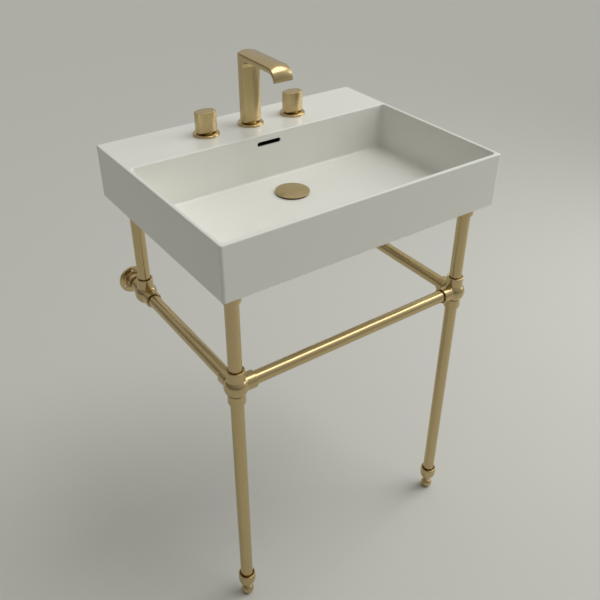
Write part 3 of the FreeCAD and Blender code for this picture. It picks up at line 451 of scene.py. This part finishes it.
def glaze_surface(material):
    place = add(material, "ShaderNodeTexCoord").outputs["Object"]
    # A fired glaze lies slightly uneven, so a reflection in the deck wavers like orange peel.
    peel = add(
        material,
        "ShaderNodeTexNoise",
        {},
        {"Vector": place, "Scale": 1 / sizes().glaze_wave, "Detail": 2.0},
    ).outputs["Fac"]
    # Its sheen also drifts over the width of a hand.
    drift = add(
        material,
        "ShaderNodeTexNoise",
        {},
        {"Vector": place, "Scale": 1 / sizes().glaze_drift, "Detail": 3.0},
    ).outputs["Fac"]
    sheen = add(
        material,
        "ShaderNodeMapRange",
        {},
        {"Value": drift, "From Min": 0.3, "From Max": 0.7, "To Min": 0.33, "To Max": 0.39},
    ).outputs["Result"]
    # Little light reaches the overflow duct behind the slot, so the glaze there is painted near black as
    # shade, and the slot reads black.
    spot = add(material, "ShaderNodeVectorMath", {"operation": "SUBTRACT"}, {0: place, 1: DUCT_MIDDLE})
    apart = add(material, "ShaderNodeVectorMath", {"operation": "ABSOLUTE"}, {0: spot.outputs[0]})
    divided = {0: apart.outputs[0], 1: DUCT_REACH}
    share = add(material, "ShaderNodeVectorMath", {"operation": "DIVIDE"}, divided)
    x, y, z = add(material, "ShaderNodeSeparateXYZ", {}, {0: share.outputs[0]}).outputs
    wide = add(material, "ShaderNodeMath", {"operation": "MAXIMUM"}, {0: x, 1: y})
    widest = add(material, "ShaderNodeMath", {"operation": "MAXIMUM"}, {0: wide.outputs[0], 1: z})
    shaded = add(material, "ShaderNodeMath", {"operation": "LESS_THAN"}, {0: widest.outputs[0], 1: 1.0})
    tint = add(
        material,
        "ShaderNodeMix",
        {"data_type": "RGBA"},
        {SHARE: shaded.outputs[0], COLOURS[0]: colours().glaze, COLOURS[1]: colours().painted_duct_shade},
    ).outputs[MIXED_COLOUR]
    edge = add(
        material,
        "ShaderNodeBevel",
        {"samples": 4},
        {"Radius": sizes().glaze_edge},
    ).outputs["Normal"]
    uneven = add(
        material,
        "ShaderNodeBump",
        {},
        {"Height": peel, "Strength": 0.12, "Distance": sizes().glaze_depth, "Normal": edge},
    ).outputs["Normal"]
    return add(
        material,
        "ShaderNodeBsdfPrincipled",
        {},
        {
            "Base Color": tint,
            "Roughness": sheen,
            "Normal": uneven,
            # The glaze's glassy top adds a faint sharp sheen over the satin one.
            "Coat Weight": 0.5,
            "Coat Roughness": 0.08,
        },
    ).outputs["BSDF"]


def brushed_surface(material, run):
    place = add(material, "ShaderNodeTexCoord").outputs["Object"]
    across, down = 1 / sizes().brush_pitch, 1 / sizes().brush_run
    scale = [down if axis == run else across for axis in "XYZ"]
    lines = add(material, "ShaderNodeMapping", {}, {"Vector": place, "Scale": scale}).outputs["Vector"]
    # Real brushing lines are near 0.1 mm and would only shimmer, so they are drawn 0.9 mm apart.
    streak = add(
        material,
        "ShaderNodeTexNoise",
        {},
        {"Vector": lines, "Scale": 1.0, "Detail": 4.0},
    ).outputs["Fac"]
    tone = add(
        material,
        "ShaderNodeMix",
        {"data_type": "RGBA"},
        {SHARE: streak, COLOURS[0]: colours().champagne_dark, COLOURS[1]: colours().champagne},
    ).outputs[MIXED_COLOUR]
    # The lines break a reflection up unevenly, which the eye reads as satin metal.
    sheen = add(
        material,
        "ShaderNodeMapRange",
        {},
        {"Value": streak, "From Min": 0.3, "From Max": 0.7, "To Min": 0.2, "To Max": 0.28},
    ).outputs["Result"]
    edge = add(
        material,
        "ShaderNodeBevel",
        {"samples": 4},
        {"Radius": sizes().brushed_edge},
    ).outputs["Normal"]
    grain = add(
        material,
        "ShaderNodeBump",
        {},
        {"Height": streak, "Strength": 0.15, "Distance": sizes().brush_depth, "Normal": edge},
    ).outputs["Normal"]
    return add(
        material,
        "ShaderNodeBsdfPrincipled",
        {},
        {"Base Color": tone, "Metallic": 1.0, "Roughness": sheen, "Normal": grain},
    ).outputs["BSDF"]


def metal_surface(material, tones, roughness, grain_width):
    """A turned or cast metal of one tone, or of two that its grain mixes. The grain has no direction."""
    place = add(material, "ShaderNodeTexCoord").outputs["Object"]
    # The real grain is near 0.1 mm and wouldn't show, so it is drawn about 1 mm wide.
    grain = add(
        material,
        "ShaderNodeTexNoise",
        {},
        {"Vector": place, "Scale": 1 / grain_width, "Detail": 3.0},
    ).outputs["Fac"]
    tone = tones[0]
    if len(tones) == 2:
        tone = add(
            material,
            "ShaderNodeMix",
            {"data_type": "RGBA"},
            {SHARE: grain, COLOURS[0]: tones[0], COLOURS[1]: tones[1]},
        ).outputs[MIXED_COLOUR]
    sheen = add(
        material,
        "ShaderNodeMapRange",
        {},
        {
            "Value": grain,
            "From Min": 0.3,
            "From Max": 0.7,
            "To Min": roughness - 0.03,
            "To Max": roughness + 0.03,
        },
    ).outputs["Result"]
    edge = add(
        material,
        "ShaderNodeBevel",
        {"samples": 4},
        {"Radius": sizes().turned_edge},
    ).outputs["Normal"]
    uneven = add(
        material,
        "ShaderNodeBump",
        {},
        {"Height": grain, "Strength": 0.15, "Distance": sizes().brush_depth, "Normal": edge},
    ).outputs["Normal"]
    return add(
        material,
        "ShaderNodeBsdfPrincipled",
        {},
        {"Base Color": tone, "Metallic": 1.0, "Roughness": sheen, "Normal": uneven},
    ).outputs["BSDF"]


def moulded_surface(material, tint, roughness):
    """A moulded plastic or rubber with a faint skin."""
    place = add(material, "ShaderNodeTexCoord").outputs["Object"]
    # The skin is as fine as the mould's own, and is drawn about 1 mm wide so that it shows at all.
    skin = add(
        material,
        "ShaderNodeTexNoise",
        {},
        {"Vector": place, "Scale": 1 / sizes().moulded_grain, "Detail": 3.0},
    ).outputs["Fac"]
    pores = add(
        material,
        "ShaderNodeBump",
        {},
        {"Height": skin, "Strength": 0.3, "Distance": sizes().brush_depth},
    ).outputs["Normal"]
    return add(
        material,
        "ShaderNodeBsdfPrincipled",
        {},
        {"Base Color": tint, "Roughness": roughness, "Normal": pores},
    ).outputs["BSDF"]


def floor_surface(material):
    place = add(material, "ShaderNodeTexCoord").outputs["Object"]
    # Rolled paint has a faint mottle the size of a hand, which keeps the floor from looking like a screen.
    mottle = add(
        material,
        "ShaderNodeTexNoise",
        {},
        {"Vector": place, "Scale": 1 / sizes().floor_mottle, "Detail": 4.0},
    ).outputs["Fac"]
    sheen = add(
        material,
        "ShaderNodeMapRange",
        {},
        {"Value": mottle, "From Min": 0.3, "From Max": 0.7, "To Min": 0.8, "To Max": 0.9},
    ).outputs["Result"]
    return add(
        material,
        "ShaderNodeBsdfPrincipled",
        {},
        {"Base Color": colours().floor, "Roughness": sheen},
    ).outputs["BSDF"]


def glazed():
    """Vitreous china under a glaze that was sprayed and fired: soft white, with a low even sheen, and
    painted near black as shade inside the overflow.
    """
    return shared("Satin white glaze on vitreous china", glaze_surface)


def brushed(run):
    """Brass brushed along X, Y or Z, then coated champagne: fine streaks and soft, broken reflections."""
    return shared("Brushed champagne brass along " + run, brushed_surface, run)


def satin():
    """The same brass, turned or cast and then blasted: an even satin that shows the shape's roundness."""
    tones = colours().champagne_dark, colours().champagne
    return shared("Satin champagne brass, coated", metal_surface, tones, 0.23, sizes().satin_grain)


def raw_brass():
    """Machined brass that was never coated: yellower, with a tool's dull shine."""
    tones = (colours().raw_brass,)
    return shared("Machined brass, uncoated", metal_surface, tones, 0.24, sizes().machined_grain)


def stainless():
    """Turned stainless steel: a grey that takes its colour from what stands round it."""
    tones = (colours().steel,)
    return shared("Stainless steel, turned", metal_surface, tones, 0.27, sizes().machined_grain)


def rubber():
    """Moulded rubber: nearly black and matt."""
    return shared("Moulded black rubber", moulded_surface, colours().rubber, 0.62)


def acetal():
    """Moulded acetal: a soft white with a waxy shine."""
    return shared("Moulded white acetal", moulded_surface, colours().acetal, 0.4)


def painted_floor():
    """Matt paint from a roller: a flat tone that takes a soft shadow."""
    return shared("Matt painted studio floor", floor_surface)


# ---------------------------------------------------------------- operators


class SINK_OT_basin(bpy.types.Operator):
    """Glazes the basin"""

    bl_idname = "sink.basin"
    bl_label = "Basin"

    def execute(self, context):
        paint(["basin"], glazed())
        return {"FINISHED"}


class SINK_OT_waste(bpy.types.Operator):
    """Finishes the waste and its plug"""

    bl_idname = "sink.waste"
    bl_label = "Waste and plug"

    def execute(self, context):
        paint(["plug_cap", "waste_tailpiece"], satin())
        paint(["waste_body", "waste_lock_nut", "plug_latch"], raw_brass())
        paint(["waste_washer", "waste_gasket", "plug_seal"], rubber())
        paint(["plug_stem"], stainless())
        return {"FINISHED"}


class SINK_OT_knobs(bpy.types.Operator):
    """Builds the two knobs, each a lens of gently crowned faces with a grub screw hole behind"""

    bl_idname = "sink.knobs"
    bl_label = "Knobs"

    def execute(self, context):
        for side in ("hot", "cold"):
            node = side + "_knob"
            centre, low, high = middle(node)
            across, through = high.x - low.x, high.y - low.y
            section = (across / 2 - KNOB_BULGE, KNOB_EDGE / 2, through / 2, through / 2, KNOB_BULGE)
            foot = Vector((centre.x, centre.y, low.z))
            bm = bmesh.new()
            ring = lens_ring(bm, section, Matrix.Translation(foot * MM))
            face = bmesh.ops.edgeloop_fill(bm, edges=ring)["faces"]
            top = bmesh.ops.extrude_face_region(bm, geom=face, use_keep_orig=True)["geom"]
            raised = [v for v in top if isinstance(v, bmesh.types.BMVert)]
            bmesh.ops.translate(bm, vec=UP * (high.z - low.z) * MM, verts=raised)
            bmesh.ops.recalc_face_normals(bm, faces=bm.faces)
            crisp = [e for e in bm.edges if e.calc_face_angle(0) > BEVELLED]
            bmesh.ops.bevel(
                bm,
                geom=crisp,
                offset=sizes().edge_round,
                offset_type="OFFSET",
                segments=3,
                profile=0.5,
                affect="EDGES",
                clamp_overlap=True,
                material=-1,
            )
            shape = solid(bm)
            holes = bmesh.new()
            rod(holes, SPINDLE_HOLE, foot - UP, "up", SPINDLE_ENTRY + 1)
            bore = solid(holes)
            holes = bmesh.new()
            screw, _, _ = middle(side + "_knob_screw")
            rod(holes, KNOB_SCREW_HOLE, (screw.x, centre.y, screw.z), "back", through)
            shape = combined(shape, [bore, solid(holes)], "DIFFERENCE")
            piece(side + "_knob_lens", shape, side + "_handle", brushed("Z"), node)
        return {"FINISHED"}


class SINK_OT_spout(bpy.types.Operator):
    """Builds the spout: lens-shaped column, throat, level arm and the tip that curves down"""

    bl_idname = "sink.spout"
    bl_label = "Spout"

    def execute(self, context):
        _, low, _ = middle("spout")
        axis, _, _ = middle("spout_base_ring")
        bm = bmesh.new()
        rings = []

        def ring(y, z, tilt, section):
            place = Matrix.Translation(Vector((axis.x, axis.y + y, z)) * MM)
            rings.append(lens_ring(bm, section + (SPOUT_BULGE,), place @ Matrix.Rotation(tilt, 4, "X")))

        column_half, column_edge, column_crown = COLUMN
        arm_half, arm_edge, arm_crown = ARM
        ring(0, low.z, 0, (column_half, column_edge, column_crown, column_crown))
        throat = sizes().spout_throat / MM
        hub = Vector((-column_edge - throat, ARM_HEIGHT - arm_edge - throat))
        slope = ROOT_RISE / (ARM_END + column_edge)
        widened, wider = THROAT_WIDENING
        for degrees in THROAT_ANGLES:
            angle = math.radians(degrees)
            way = Vector((math.cos(angle), math.sin(angle)))
            # Each section reaches to the flat back or to the arm's top, whichever it meets first. The sides
            # of the top rise to the column, where the arm is deepest.
            corner = min(
                (throat + 2 * column_edge) / max(way.x, TINY),
                (throat + 2 * arm_edge + slope * (ARM_END + hub.x)) / max(way.y - slope * way.x, TINY),
            )
            crown = min(
                (throat + column_edge + column_crown) / max(way.x, TINY),
                (throat + arm_edge + arm_crown - FIT) / max(way.y, TINY),
            )
            bulge = (column_crown - column_edge) * way.x**2 + (arm_crown - arm_edge) * way.y**2
            edge = (corner - throat) / 2
            centre = hub + way * (throat + edge)
            share = widened + (wider - widened) * degrees / 90
            half = column_half + (arm_half - column_half) * share
            ring(centre.x, centre.y, angle, (half, edge, edge + bulge, edge + crown - corner))
        for step in range(TIP_STEPS + 1):
            part = step / TIP_STEPS
            # One smooth curve through the start, the bend and the end.
            y, z, tilt, edge, inner, outer = (
                start + (4 * bend - 3 * start - end) * part + 2 * (start + end - 2 * bend) * part**2
                for start, bend, end in zip(*TIP)
            )
            ring(y, z, math.radians(tilt), (arm_half, edge, inner, outer))
        skinned(bm, rings)
        shape = solid(bm)
        # The aerator's pocket reaches further down than the aerator, so that it cuts the outlet open.
        outlet, first, last = middle("spout_aerator")
        pocket = bmesh.new()
        made = bmesh.ops.create_cube(pocket, size=1.0)["verts"]
        span = last - first + Vector((2 * FIT, 2 * FIT, OUTLET_CUT))
        bmesh.ops.scale(pocket, vec=span * MM, verts=made)
        bmesh.ops.translate(pocket, vec=(outlet - UP * OUTLET_CUT / 2) * MM, verts=made)
        socket = bmesh.new()
        _, _, spigot = middle("spout_shank")
        rod(socket, SPIGOT_HOLE, (axis.x, axis.y, low.z - 1), "up", spigot.z - low.z + 1)
        shape = combined(shape, [solid(pocket), solid(socket)], "DIFFERENCE")
        piece("spout_shape", shape, "stand", brushed("Z"), "spout")
        return {"FINISHED"}


class SINK_OT_rings(bpy.types.Operator):
    """Builds the three rounded rings on the deck"""

    bl_idname = "sink.rings"
    bl_label = "Deck rings"

    def execute(self, context):
        for name in ("hot", "spout", "cold"):
            node = name + "_base_ring"
            centre, low, high = middle(node)
            radius, height = (high.x - low.x) / 2, high.z - low.z
            bm = bmesh.new()
            profile = [
                (SHANK_HOLE, 0),
                (radius, 0),
                (radius, height, RING_ROUND),
                (SHANK_HOLE, height, SMALL_ROUND),
            ]
            spun(bm, profile, place=(centre.x, centre.y, low.z), closed=True)
            piece(node + "_turned", solid(bm), "stand", satin(), node)
        return {"FINISHED"}


class SINK_OT_supply(bpy.types.Operator):
    """Finishes the valves, the tee and the fixings below the deck"""

    bl_idname = "sink.supply"
    bl_label = "Valves and fixings"

    def execute(self, context):
        brass = ["tap_lock_nuts", "spout_shank", "spout_tee"]
        for side in ("hot", "cold"):
            brass += [side + "_spindle", side + "_cartridge", side + "_valve_body"]
        paint(brass, raw_brass())
        paint(["spout_aerator"], acetal())
        paint(["tap_gaskets", "top_pads"], rubber())
        steel = ["tap_washers", "hot_knob_screw", "cold_knob_screw", "socket_screws"]
        paint(steel, stainless())
        paint(["foot_jam_nuts"], satin())
        return {"FINISHED"}


class SINK_OT_tubes(bpy.types.Operator):
    """Builds the eleven straight tubes of the stand"""

    bl_idname = "sink.tubes"
    bl_label = "Tubes"

    def execute(self, context):
        runs = [("front_bar", "right")]
        for side in SIDES:
            runs += [(side + name, "up") for name in ("_upper_leg", "_rear_post", "_lower_leg")]
            runs += [(side + name, "back") for name in ("_side_bar", "_wall_stub")]
        outer = sizes().tube_radius / MM
        for node, push in runs:
            centre, low, high = middle(node)
            way = DIRECTIONS[push]
            reach = (high - low).dot(way)
            bm = bmesh.new()
            profile = [
                (outer - TUBE_WALL, 0),
                (outer, 0, SMALL_ROUND),
                (outer, reach, SMALL_ROUND),
                (outer - TUBE_WALL, reach),
            ]
            spun(bm, profile, push, centre - way * reach / 2, closed=True)
            run = {"right": "X", "back": "Y", "up": "Z"}[push]
            piece(node + "_tube", solid(bm), "stand", brushed(run), node)
        return {"FINISHED"}


class SINK_OT_joints(bpy.types.Operator):
    """Builds the four ball joints, whose sockets flow into the ball and have a groove round each tube"""

    bl_idname = "sink.joints"
    bl_label = "Ball joints"

    def execute(self, context):
        bar, _, _ = middle("front_bar")
        for side in SIDES:
            inward = "right" if side == "left" else "left"
            front, _, _ = middle(side + "_lower_leg")
            rear, _, _ = middle(side + "_rear_post")
            ports = (("up", "back"), ("down", "back"), ("back", "down"), (inward, "down"))
            self.joint(side + "_front_joint", Vector((front.x, front.y, bar.z)), ports)
            ports = (("up", inward), ("front", "down"), ("back", "down"))
            self.joint(side + "_rear_joint", Vector((rear.x, rear.y, bar.z)), ports)
        return {"FINISHED"}

    def joint(self, node, centre, ports):
        """Makes one joint. A port is a socket's direction and that of the grub screw in its side."""
        ball = sizes().ball_radius / MM
        collar = sizes().collar_radius / MM
        reach = sizes().collar_reach / MM
        flare = sizes().collar_flare / MM
        tube = sizes().tube_radius / MM
        depth = sizes().mouth_depth / MM
        mouth = tube + sizes().mouth_groove / MM
        # The hollow rounding touches the ball here, and the corner that it rounds lies on the collar's side.
        height = math.sqrt((ball + flare) ** 2 - (collar + flare) ** 2)
        touch = Vector((collar + flare, height)) * ball / (ball + flare)
        corner = touch.y + (touch.x - collar) * touch.x / touch.y
        # Both stop a little short, which keeps the shapes' surfaces from lying in one another.
        round_over = (height - corner) * 0.98
        start = touch * 0.997
        meet = math.sqrt(ball**2 - collar**2) + GROOVE_WIDTH
        bm = bmesh.new()
        made = bmesh.ops.create_uvsphere(
            bm, u_segments=ROUND_STEPS, v_segments=ROUND_STEPS // 2, radius=ball * MM
        )
        bmesh.ops.translate(bm, vec=centre * MM, verts=made["verts"])
        shape = solid(bm)
        collars, bores = [], []
        for push, side in ports:
            bm = bmesh.new()
            if push in ("down", "back", "front"):
                # These sockets meet the ball in a narrow groove, the others flow into it.
                root = [(collar - GROOVE, start.y / 2), (collar - GROOVE, meet), (collar, meet, SMALL_ROUND)]
            else:
                inside = (start.x * 0.9, start.y / 2)
                root = [inside, (start.x, start.y), (collar, corner, round_over)]
            spun(bm, [(0, start.y / 2)] + root + [(collar, reach, COLLAR_ROUND), (0, reach)], push, centre)
            collars.append(solid(bm))
            bm = bmesh.new()
            profile = [
                (0, SOCKET_SEAT),
                (tube + FIT, SOCKET_SEAT),
                (tube + FIT, reach - depth),
                (mouth, reach - depth),
                (mouth, reach - MOUTH_CHAMFER),
                (mouth + 2 * MOUTH_CHAMFER, reach + MOUTH_CHAMFER),
                (0, reach + MOUTH_CHAMFER),
            ]
            spun(bm, profile, push, centre)
            bores.append(solid(bm))
            bm = bmesh.new()
            rod(bm, SCREW_HOLE, along(centre, push, SCREW_REACH), side, collar + 1)
            bores.append(solid(bm))
        shape = combined(shape, collars, "UNION")
        shape = combined(shape, bores, "DIFFERENCE")
        piece(node + "_ball", shape, "stand", satin(), node)


class SINK_OT_top_flanges(bpy.types.Operator):
    """Builds the four round plates under the basin, each with a socket for its tube"""

    bl_idname = "sink.top_flanges"
    bl_label = "Top flanges"

    def execute(self, context):
        bore = sizes().tube_radius / MM + FIT
        collar = sizes().collar_radius / MM
        for side in SIDES:
            for end in ("front", "rear"):
                node = "%s_%s_top_flange" % (side, end)
                centre, low, high = middle(node)
                radius = (high.x - low.x) / 2
                plate = high.z - PLATE
                bm = bmesh.new()
                profile = [
                    (0, 0),
                    (bore, 0),
                    (bore, low.z - plate, SMALL_ROUND),
                    (collar, low.z - plate, COLLAR_ROUND),
                    (collar, 0, COLLAR_ROUND),
                    (radius, 0, PLATE_ROUND),
                    (radius, PLATE, SMALL_ROUND),
                    (0, PLATE),
                ]
                spun(bm, profile, place=(centre.x, centre.y, plate))
                piece(node + "_turned", solid(bm), "stand", satin(), node)
        return {"FINISHED"}


class SINK_OT_wall_flanges(bpy.types.Operator):
    """Builds the two wall flanges: rounded plate, tapered boss and open screw holes"""

    bl_idname = "sink.wall_flanges"
    bl_label = "Wall flanges"

    def execute(self, context):
        bore = sizes().tube_radius / MM + FIT
        collar = sizes().collar_radius / MM
        for side in SIDES:
            node = side + "_wall_flange"
            centre, low, high = middle(node)
            radius, reach = (high.x - low.x) / 2, high.y - low.y
            _, _, stub = middle(side + "_wall_stub")
            seat = high.y - stub.y
            bm = bmesh.new()
            profile = [
                (0, 0),
                (radius, 0),
                (radius, FLANGE, RING_ROUND),
                (BOSS_ROOT, FLANGE, BOSS_ROOT_ROUND),
                (collar, reach, BOSS_END_ROUND),
                (bore, reach, SMALL_ROUND),
                (bore, seat),
                (0, seat),
            ]
            spun(bm, profile, "front", (centre.x, high.y, centre.z))
            shape = solid(bm)
            holes = []
            for number in range(SCREWS):
                angle = math.radians(90 + 360 / SCREWS * number)
                start = Vector((centre.x, high.y + 1, centre.z))
                start += Vector((math.cos(angle), 0, math.sin(angle))) * SCREW_CIRCLE
                bm = bmesh.new()
                rod(bm, WALL_SCREW_HOLE, start, "front", reach + 2)
                holes.append(solid(bm))
            shape = combined(shape, holes, "DIFFERENCE")
            piece(node + "_turned", shape, "stand", satin(), node)
        return {"FINISHED"}


class SINK_OT_feet(bpy.types.Operator):
    """Builds the cups on the ends of the legs and the ball feet that screw into them"""

    bl_idname = "sink.feet"
    bl_label = "Feet"

    def execute(self, context):
        bore = sizes().tube_radius / MM + FIT
        for side in SIDES:
            centre, low, high = middle(side + "_foot_cup")
            bm = bmesh.new()
            mouth, seat = CUP_SEAT
            inside = ((bore, mouth), (bore, seat), (STUD + FIT, seat), (STUD + FIT, 0))
            spun(bm, CUP + inside, place=(centre.x, centre.y, low.z), closed=True)
            cup = side + "_foot_cup"
            piece(cup + "_turned", solid(bm), "stand", satin(), cup)
            centre, low, high = middle(side + "_foot")
            bm = bmesh.new()
            profile = ((0, 0),) + FOOT + ((STUD, high.z), (0, high.z))
            spun(bm, profile, place=(centre.x, centre.y, low.z))
            foot = side + "_foot"
            body = side + "_levelling_foot"
            piece(foot + "_turned", solid(bm), body, satin(), foot)
        return {"FINISHED"}


class SINK_OT_stage(bpy.types.Operator):
    """Makes the plain studio: floor, lamps, surroundings and camera"""

    bl_idname = "sink.stage"
    bl_label = "Stage"

    def execute(self, context):
        scene = context.scene
        bm = bmesh.new()
        bmesh.ops.create_circle(bm, cap_ends=True, segments=128, radius=15.0)
        mesh = bpy.data.meshes.new("Floor")
        bm.to_mesh(mesh)
        bm.free()
        mesh.materials.append(painted_floor())
        floor = bpy.data.objects.new("Floor", mesh)
        scene.collection.objects.link(floor)

        sun = bpy.data.lights.new("Key", "SUN")
        sun.energy = SUN_STRENGTH
        sun.angle = SUN_WIDTH
        key = bpy.data.objects.new("Key", sun)
        key.rotation_euler = Vector(SUN_FROM).to_track_quat("Z", "Y").to_euler()
        scene.collection.objects.link(key)
        # A window on the right, so that the deck and the floor grow brighter towards it.
        panel = bpy.data.lights.new("Window", "AREA")
        panel.size = WINDOW_SIZE
        panel.energy = WINDOW_POWER
        window = bpy.data.objects.new("Window", panel)
        window.location = WINDOW_PLACE
        facing = Vector(WINDOW_PLACE) - Vector(WINDOW_AIM)
        window.rotation_euler = facing.to_track_quat("Z", "Y").to_euler()
        scene.collection.objects.link(window)

        world = bpy.data.worlds.new("Studio")
        scene.world = world
        world.use_nodes = True
        world.node_tree.nodes.clear()
        rays = add(world, "ShaderNodeLightPath")
        # The studio is brightest overhead, on the right and a little to the back.
        way = add(world, "ShaderNodeTexCoord").outputs["Object"]
        height = add(world, "ShaderNodeVectorMath", {"operation": "DOT_PRODUCT"}, {0: way, 1: BRIGHT_WAY})
        # Metal mirrors a studio that is dimmer low down, which gives round brass its dark and light sides.
        light, mirrored = (
            add(
                world,
                "ShaderNodeMapRange",
                {},
                {
                    "Value": height.outputs["Value"],
                    "From Min": low,
                    "From Max": high,
                    "To Min": dim,
                    "To Max": bright,
                },
            ).outputs["Result"]
            for low, high, dim, bright in (LIGHT_RANGE, METAL_RANGE)
        )
        shown = add(
            world,
            "ShaderNodeMix",
            {"data_type": "FLOAT"},
            {SHARE: rays.outputs["Is Glossy Ray"], NUMBERS[0]: light, NUMBERS[1]: mirrored},
        ).outputs[MIXED_NUMBER]
        # The camera sees the plain pale backdrop, and so would anything clear.
        straight = add(
            world,
            "ShaderNodeMath",
            {"operation": "MAXIMUM"},
            {0: rays.outputs["Is Camera Ray"], 1: rays.outputs["Is Transmission Ray"]},
        ).outputs["Value"]
        strength = add(
            world,
            "ShaderNodeMix",
            {"data_type": "FLOAT"},
            {SHARE: straight, NUMBERS[0]: shown, NUMBERS[1]: 1.0},
        ).outputs[MIXED_NUMBER]
        sky = add(
            world,
            "ShaderNodeBackground",
            {},
            {"Color": colours().backdrop, "Strength": strength},
        ).outputs["Background"]
        add(world, "ShaderNodeOutputWorld", {}, {"Surface": sky})

        lens = bpy.data.cameras.new("Camera")
        lens.lens = CAMERA_LENS
        lens.sensor_width = 36.0
        lens.clip_start = 0.05
        lens.clip_end = 100.0
        camera = bpy.data.objects.new("Camera", lens)
        scene.collection.objects.link(camera)
        level = Vector((-math.sin(CAMERA_AZIMUTH), math.cos(CAMERA_AZIMUTH), 0))
        forward = level * math.cos(CAMERA_ELEVATION) - UP * math.sin(CAMERA_ELEVATION)
        right = forward.cross(UP).normalized()
        down = forward.cross(right).normalized()
        turned_right = right * math.cos(CAMERA_ROLL) + down * math.sin(CAMERA_ROLL)
        turned_down = down * math.cos(CAMERA_ROLL) - right * math.sin(CAMERA_ROLL)
        basis = Matrix((turned_right, -turned_down, -forward)).transposed()
        camera.matrix_world = Matrix.Translation(CAMERA_PLACE) @ basis.to_4x4()
        scene.camera = camera
        scene.view_settings.view_transform = "Standard"
        return {"FINISHED"}


OPERATORS = (
    SINK_OT_basin,
    SINK_OT_waste,
    SINK_OT_knobs,
    SINK_OT_spout,
    SINK_OT_rings,
    SINK_OT_supply,
    SINK_OT_tubes,
    SINK_OT_joints,
    SINK_OT_top_flanges,
    SINK_OT_wall_flanges,
    SINK_OT_feet,
    SINK_OT_stage,
)


class SINK_PT_panel(bpy.types.Panel):
    """Lists the steps and the values that they read"""

    bl_idname = "SINK_PT_panel"
    bl_label = "Console sink"
    bl_space_type = "VIEW_3D"
    bl_region_type = "UI"
    bl_category = "Sink"

    def draw(self, context):
        layout = self.layout
        for values in (sizes(), colours()):
            for name in values.bl_rna.properties.keys():
                if name not in ("rna_type", "name"):
                    layout.prop(values, name)
        for operator in OPERATORS:
            layout.operator(operator.bl_idname)


CLASSES = (SinkSizes, SinkColours) + OPERATORS + (SINK_PT_panel,)


def register():
    for kind in CLASSES:
        bpy.utils.register_class(kind)
    bpy.types.Scene.sink_sizes = bpy.props.PointerProperty(type=SinkSizes)
    bpy.types.Scene.sink_colours = bpy.props.PointerProperty(type=SinkColours)


def unregister():
    del bpy.types.Scene.sink_colours
    del bpy.types.Scene.sink_sizes
    for kind in reversed(CLASSES):
        bpy.utils.unregister_class(kind)


def main():
    register()
    bpy.ops.sink.basin()
    bpy.ops.sink.waste()
    bpy.ops.sink.knobs()
    bpy.ops.sink.spout()
    bpy.ops.sink.rings()
    bpy.ops.sink.supply()
    bpy.ops.sink.tubes()
    bpy.ops.sink.joints()
    bpy.ops.sink.top_flanges()
    bpy.ops.sink.wall_flanges()
    bpy.ops.sink.feet()
    bpy.ops.sink.stage()


if __name__ == "__main__":
    main()
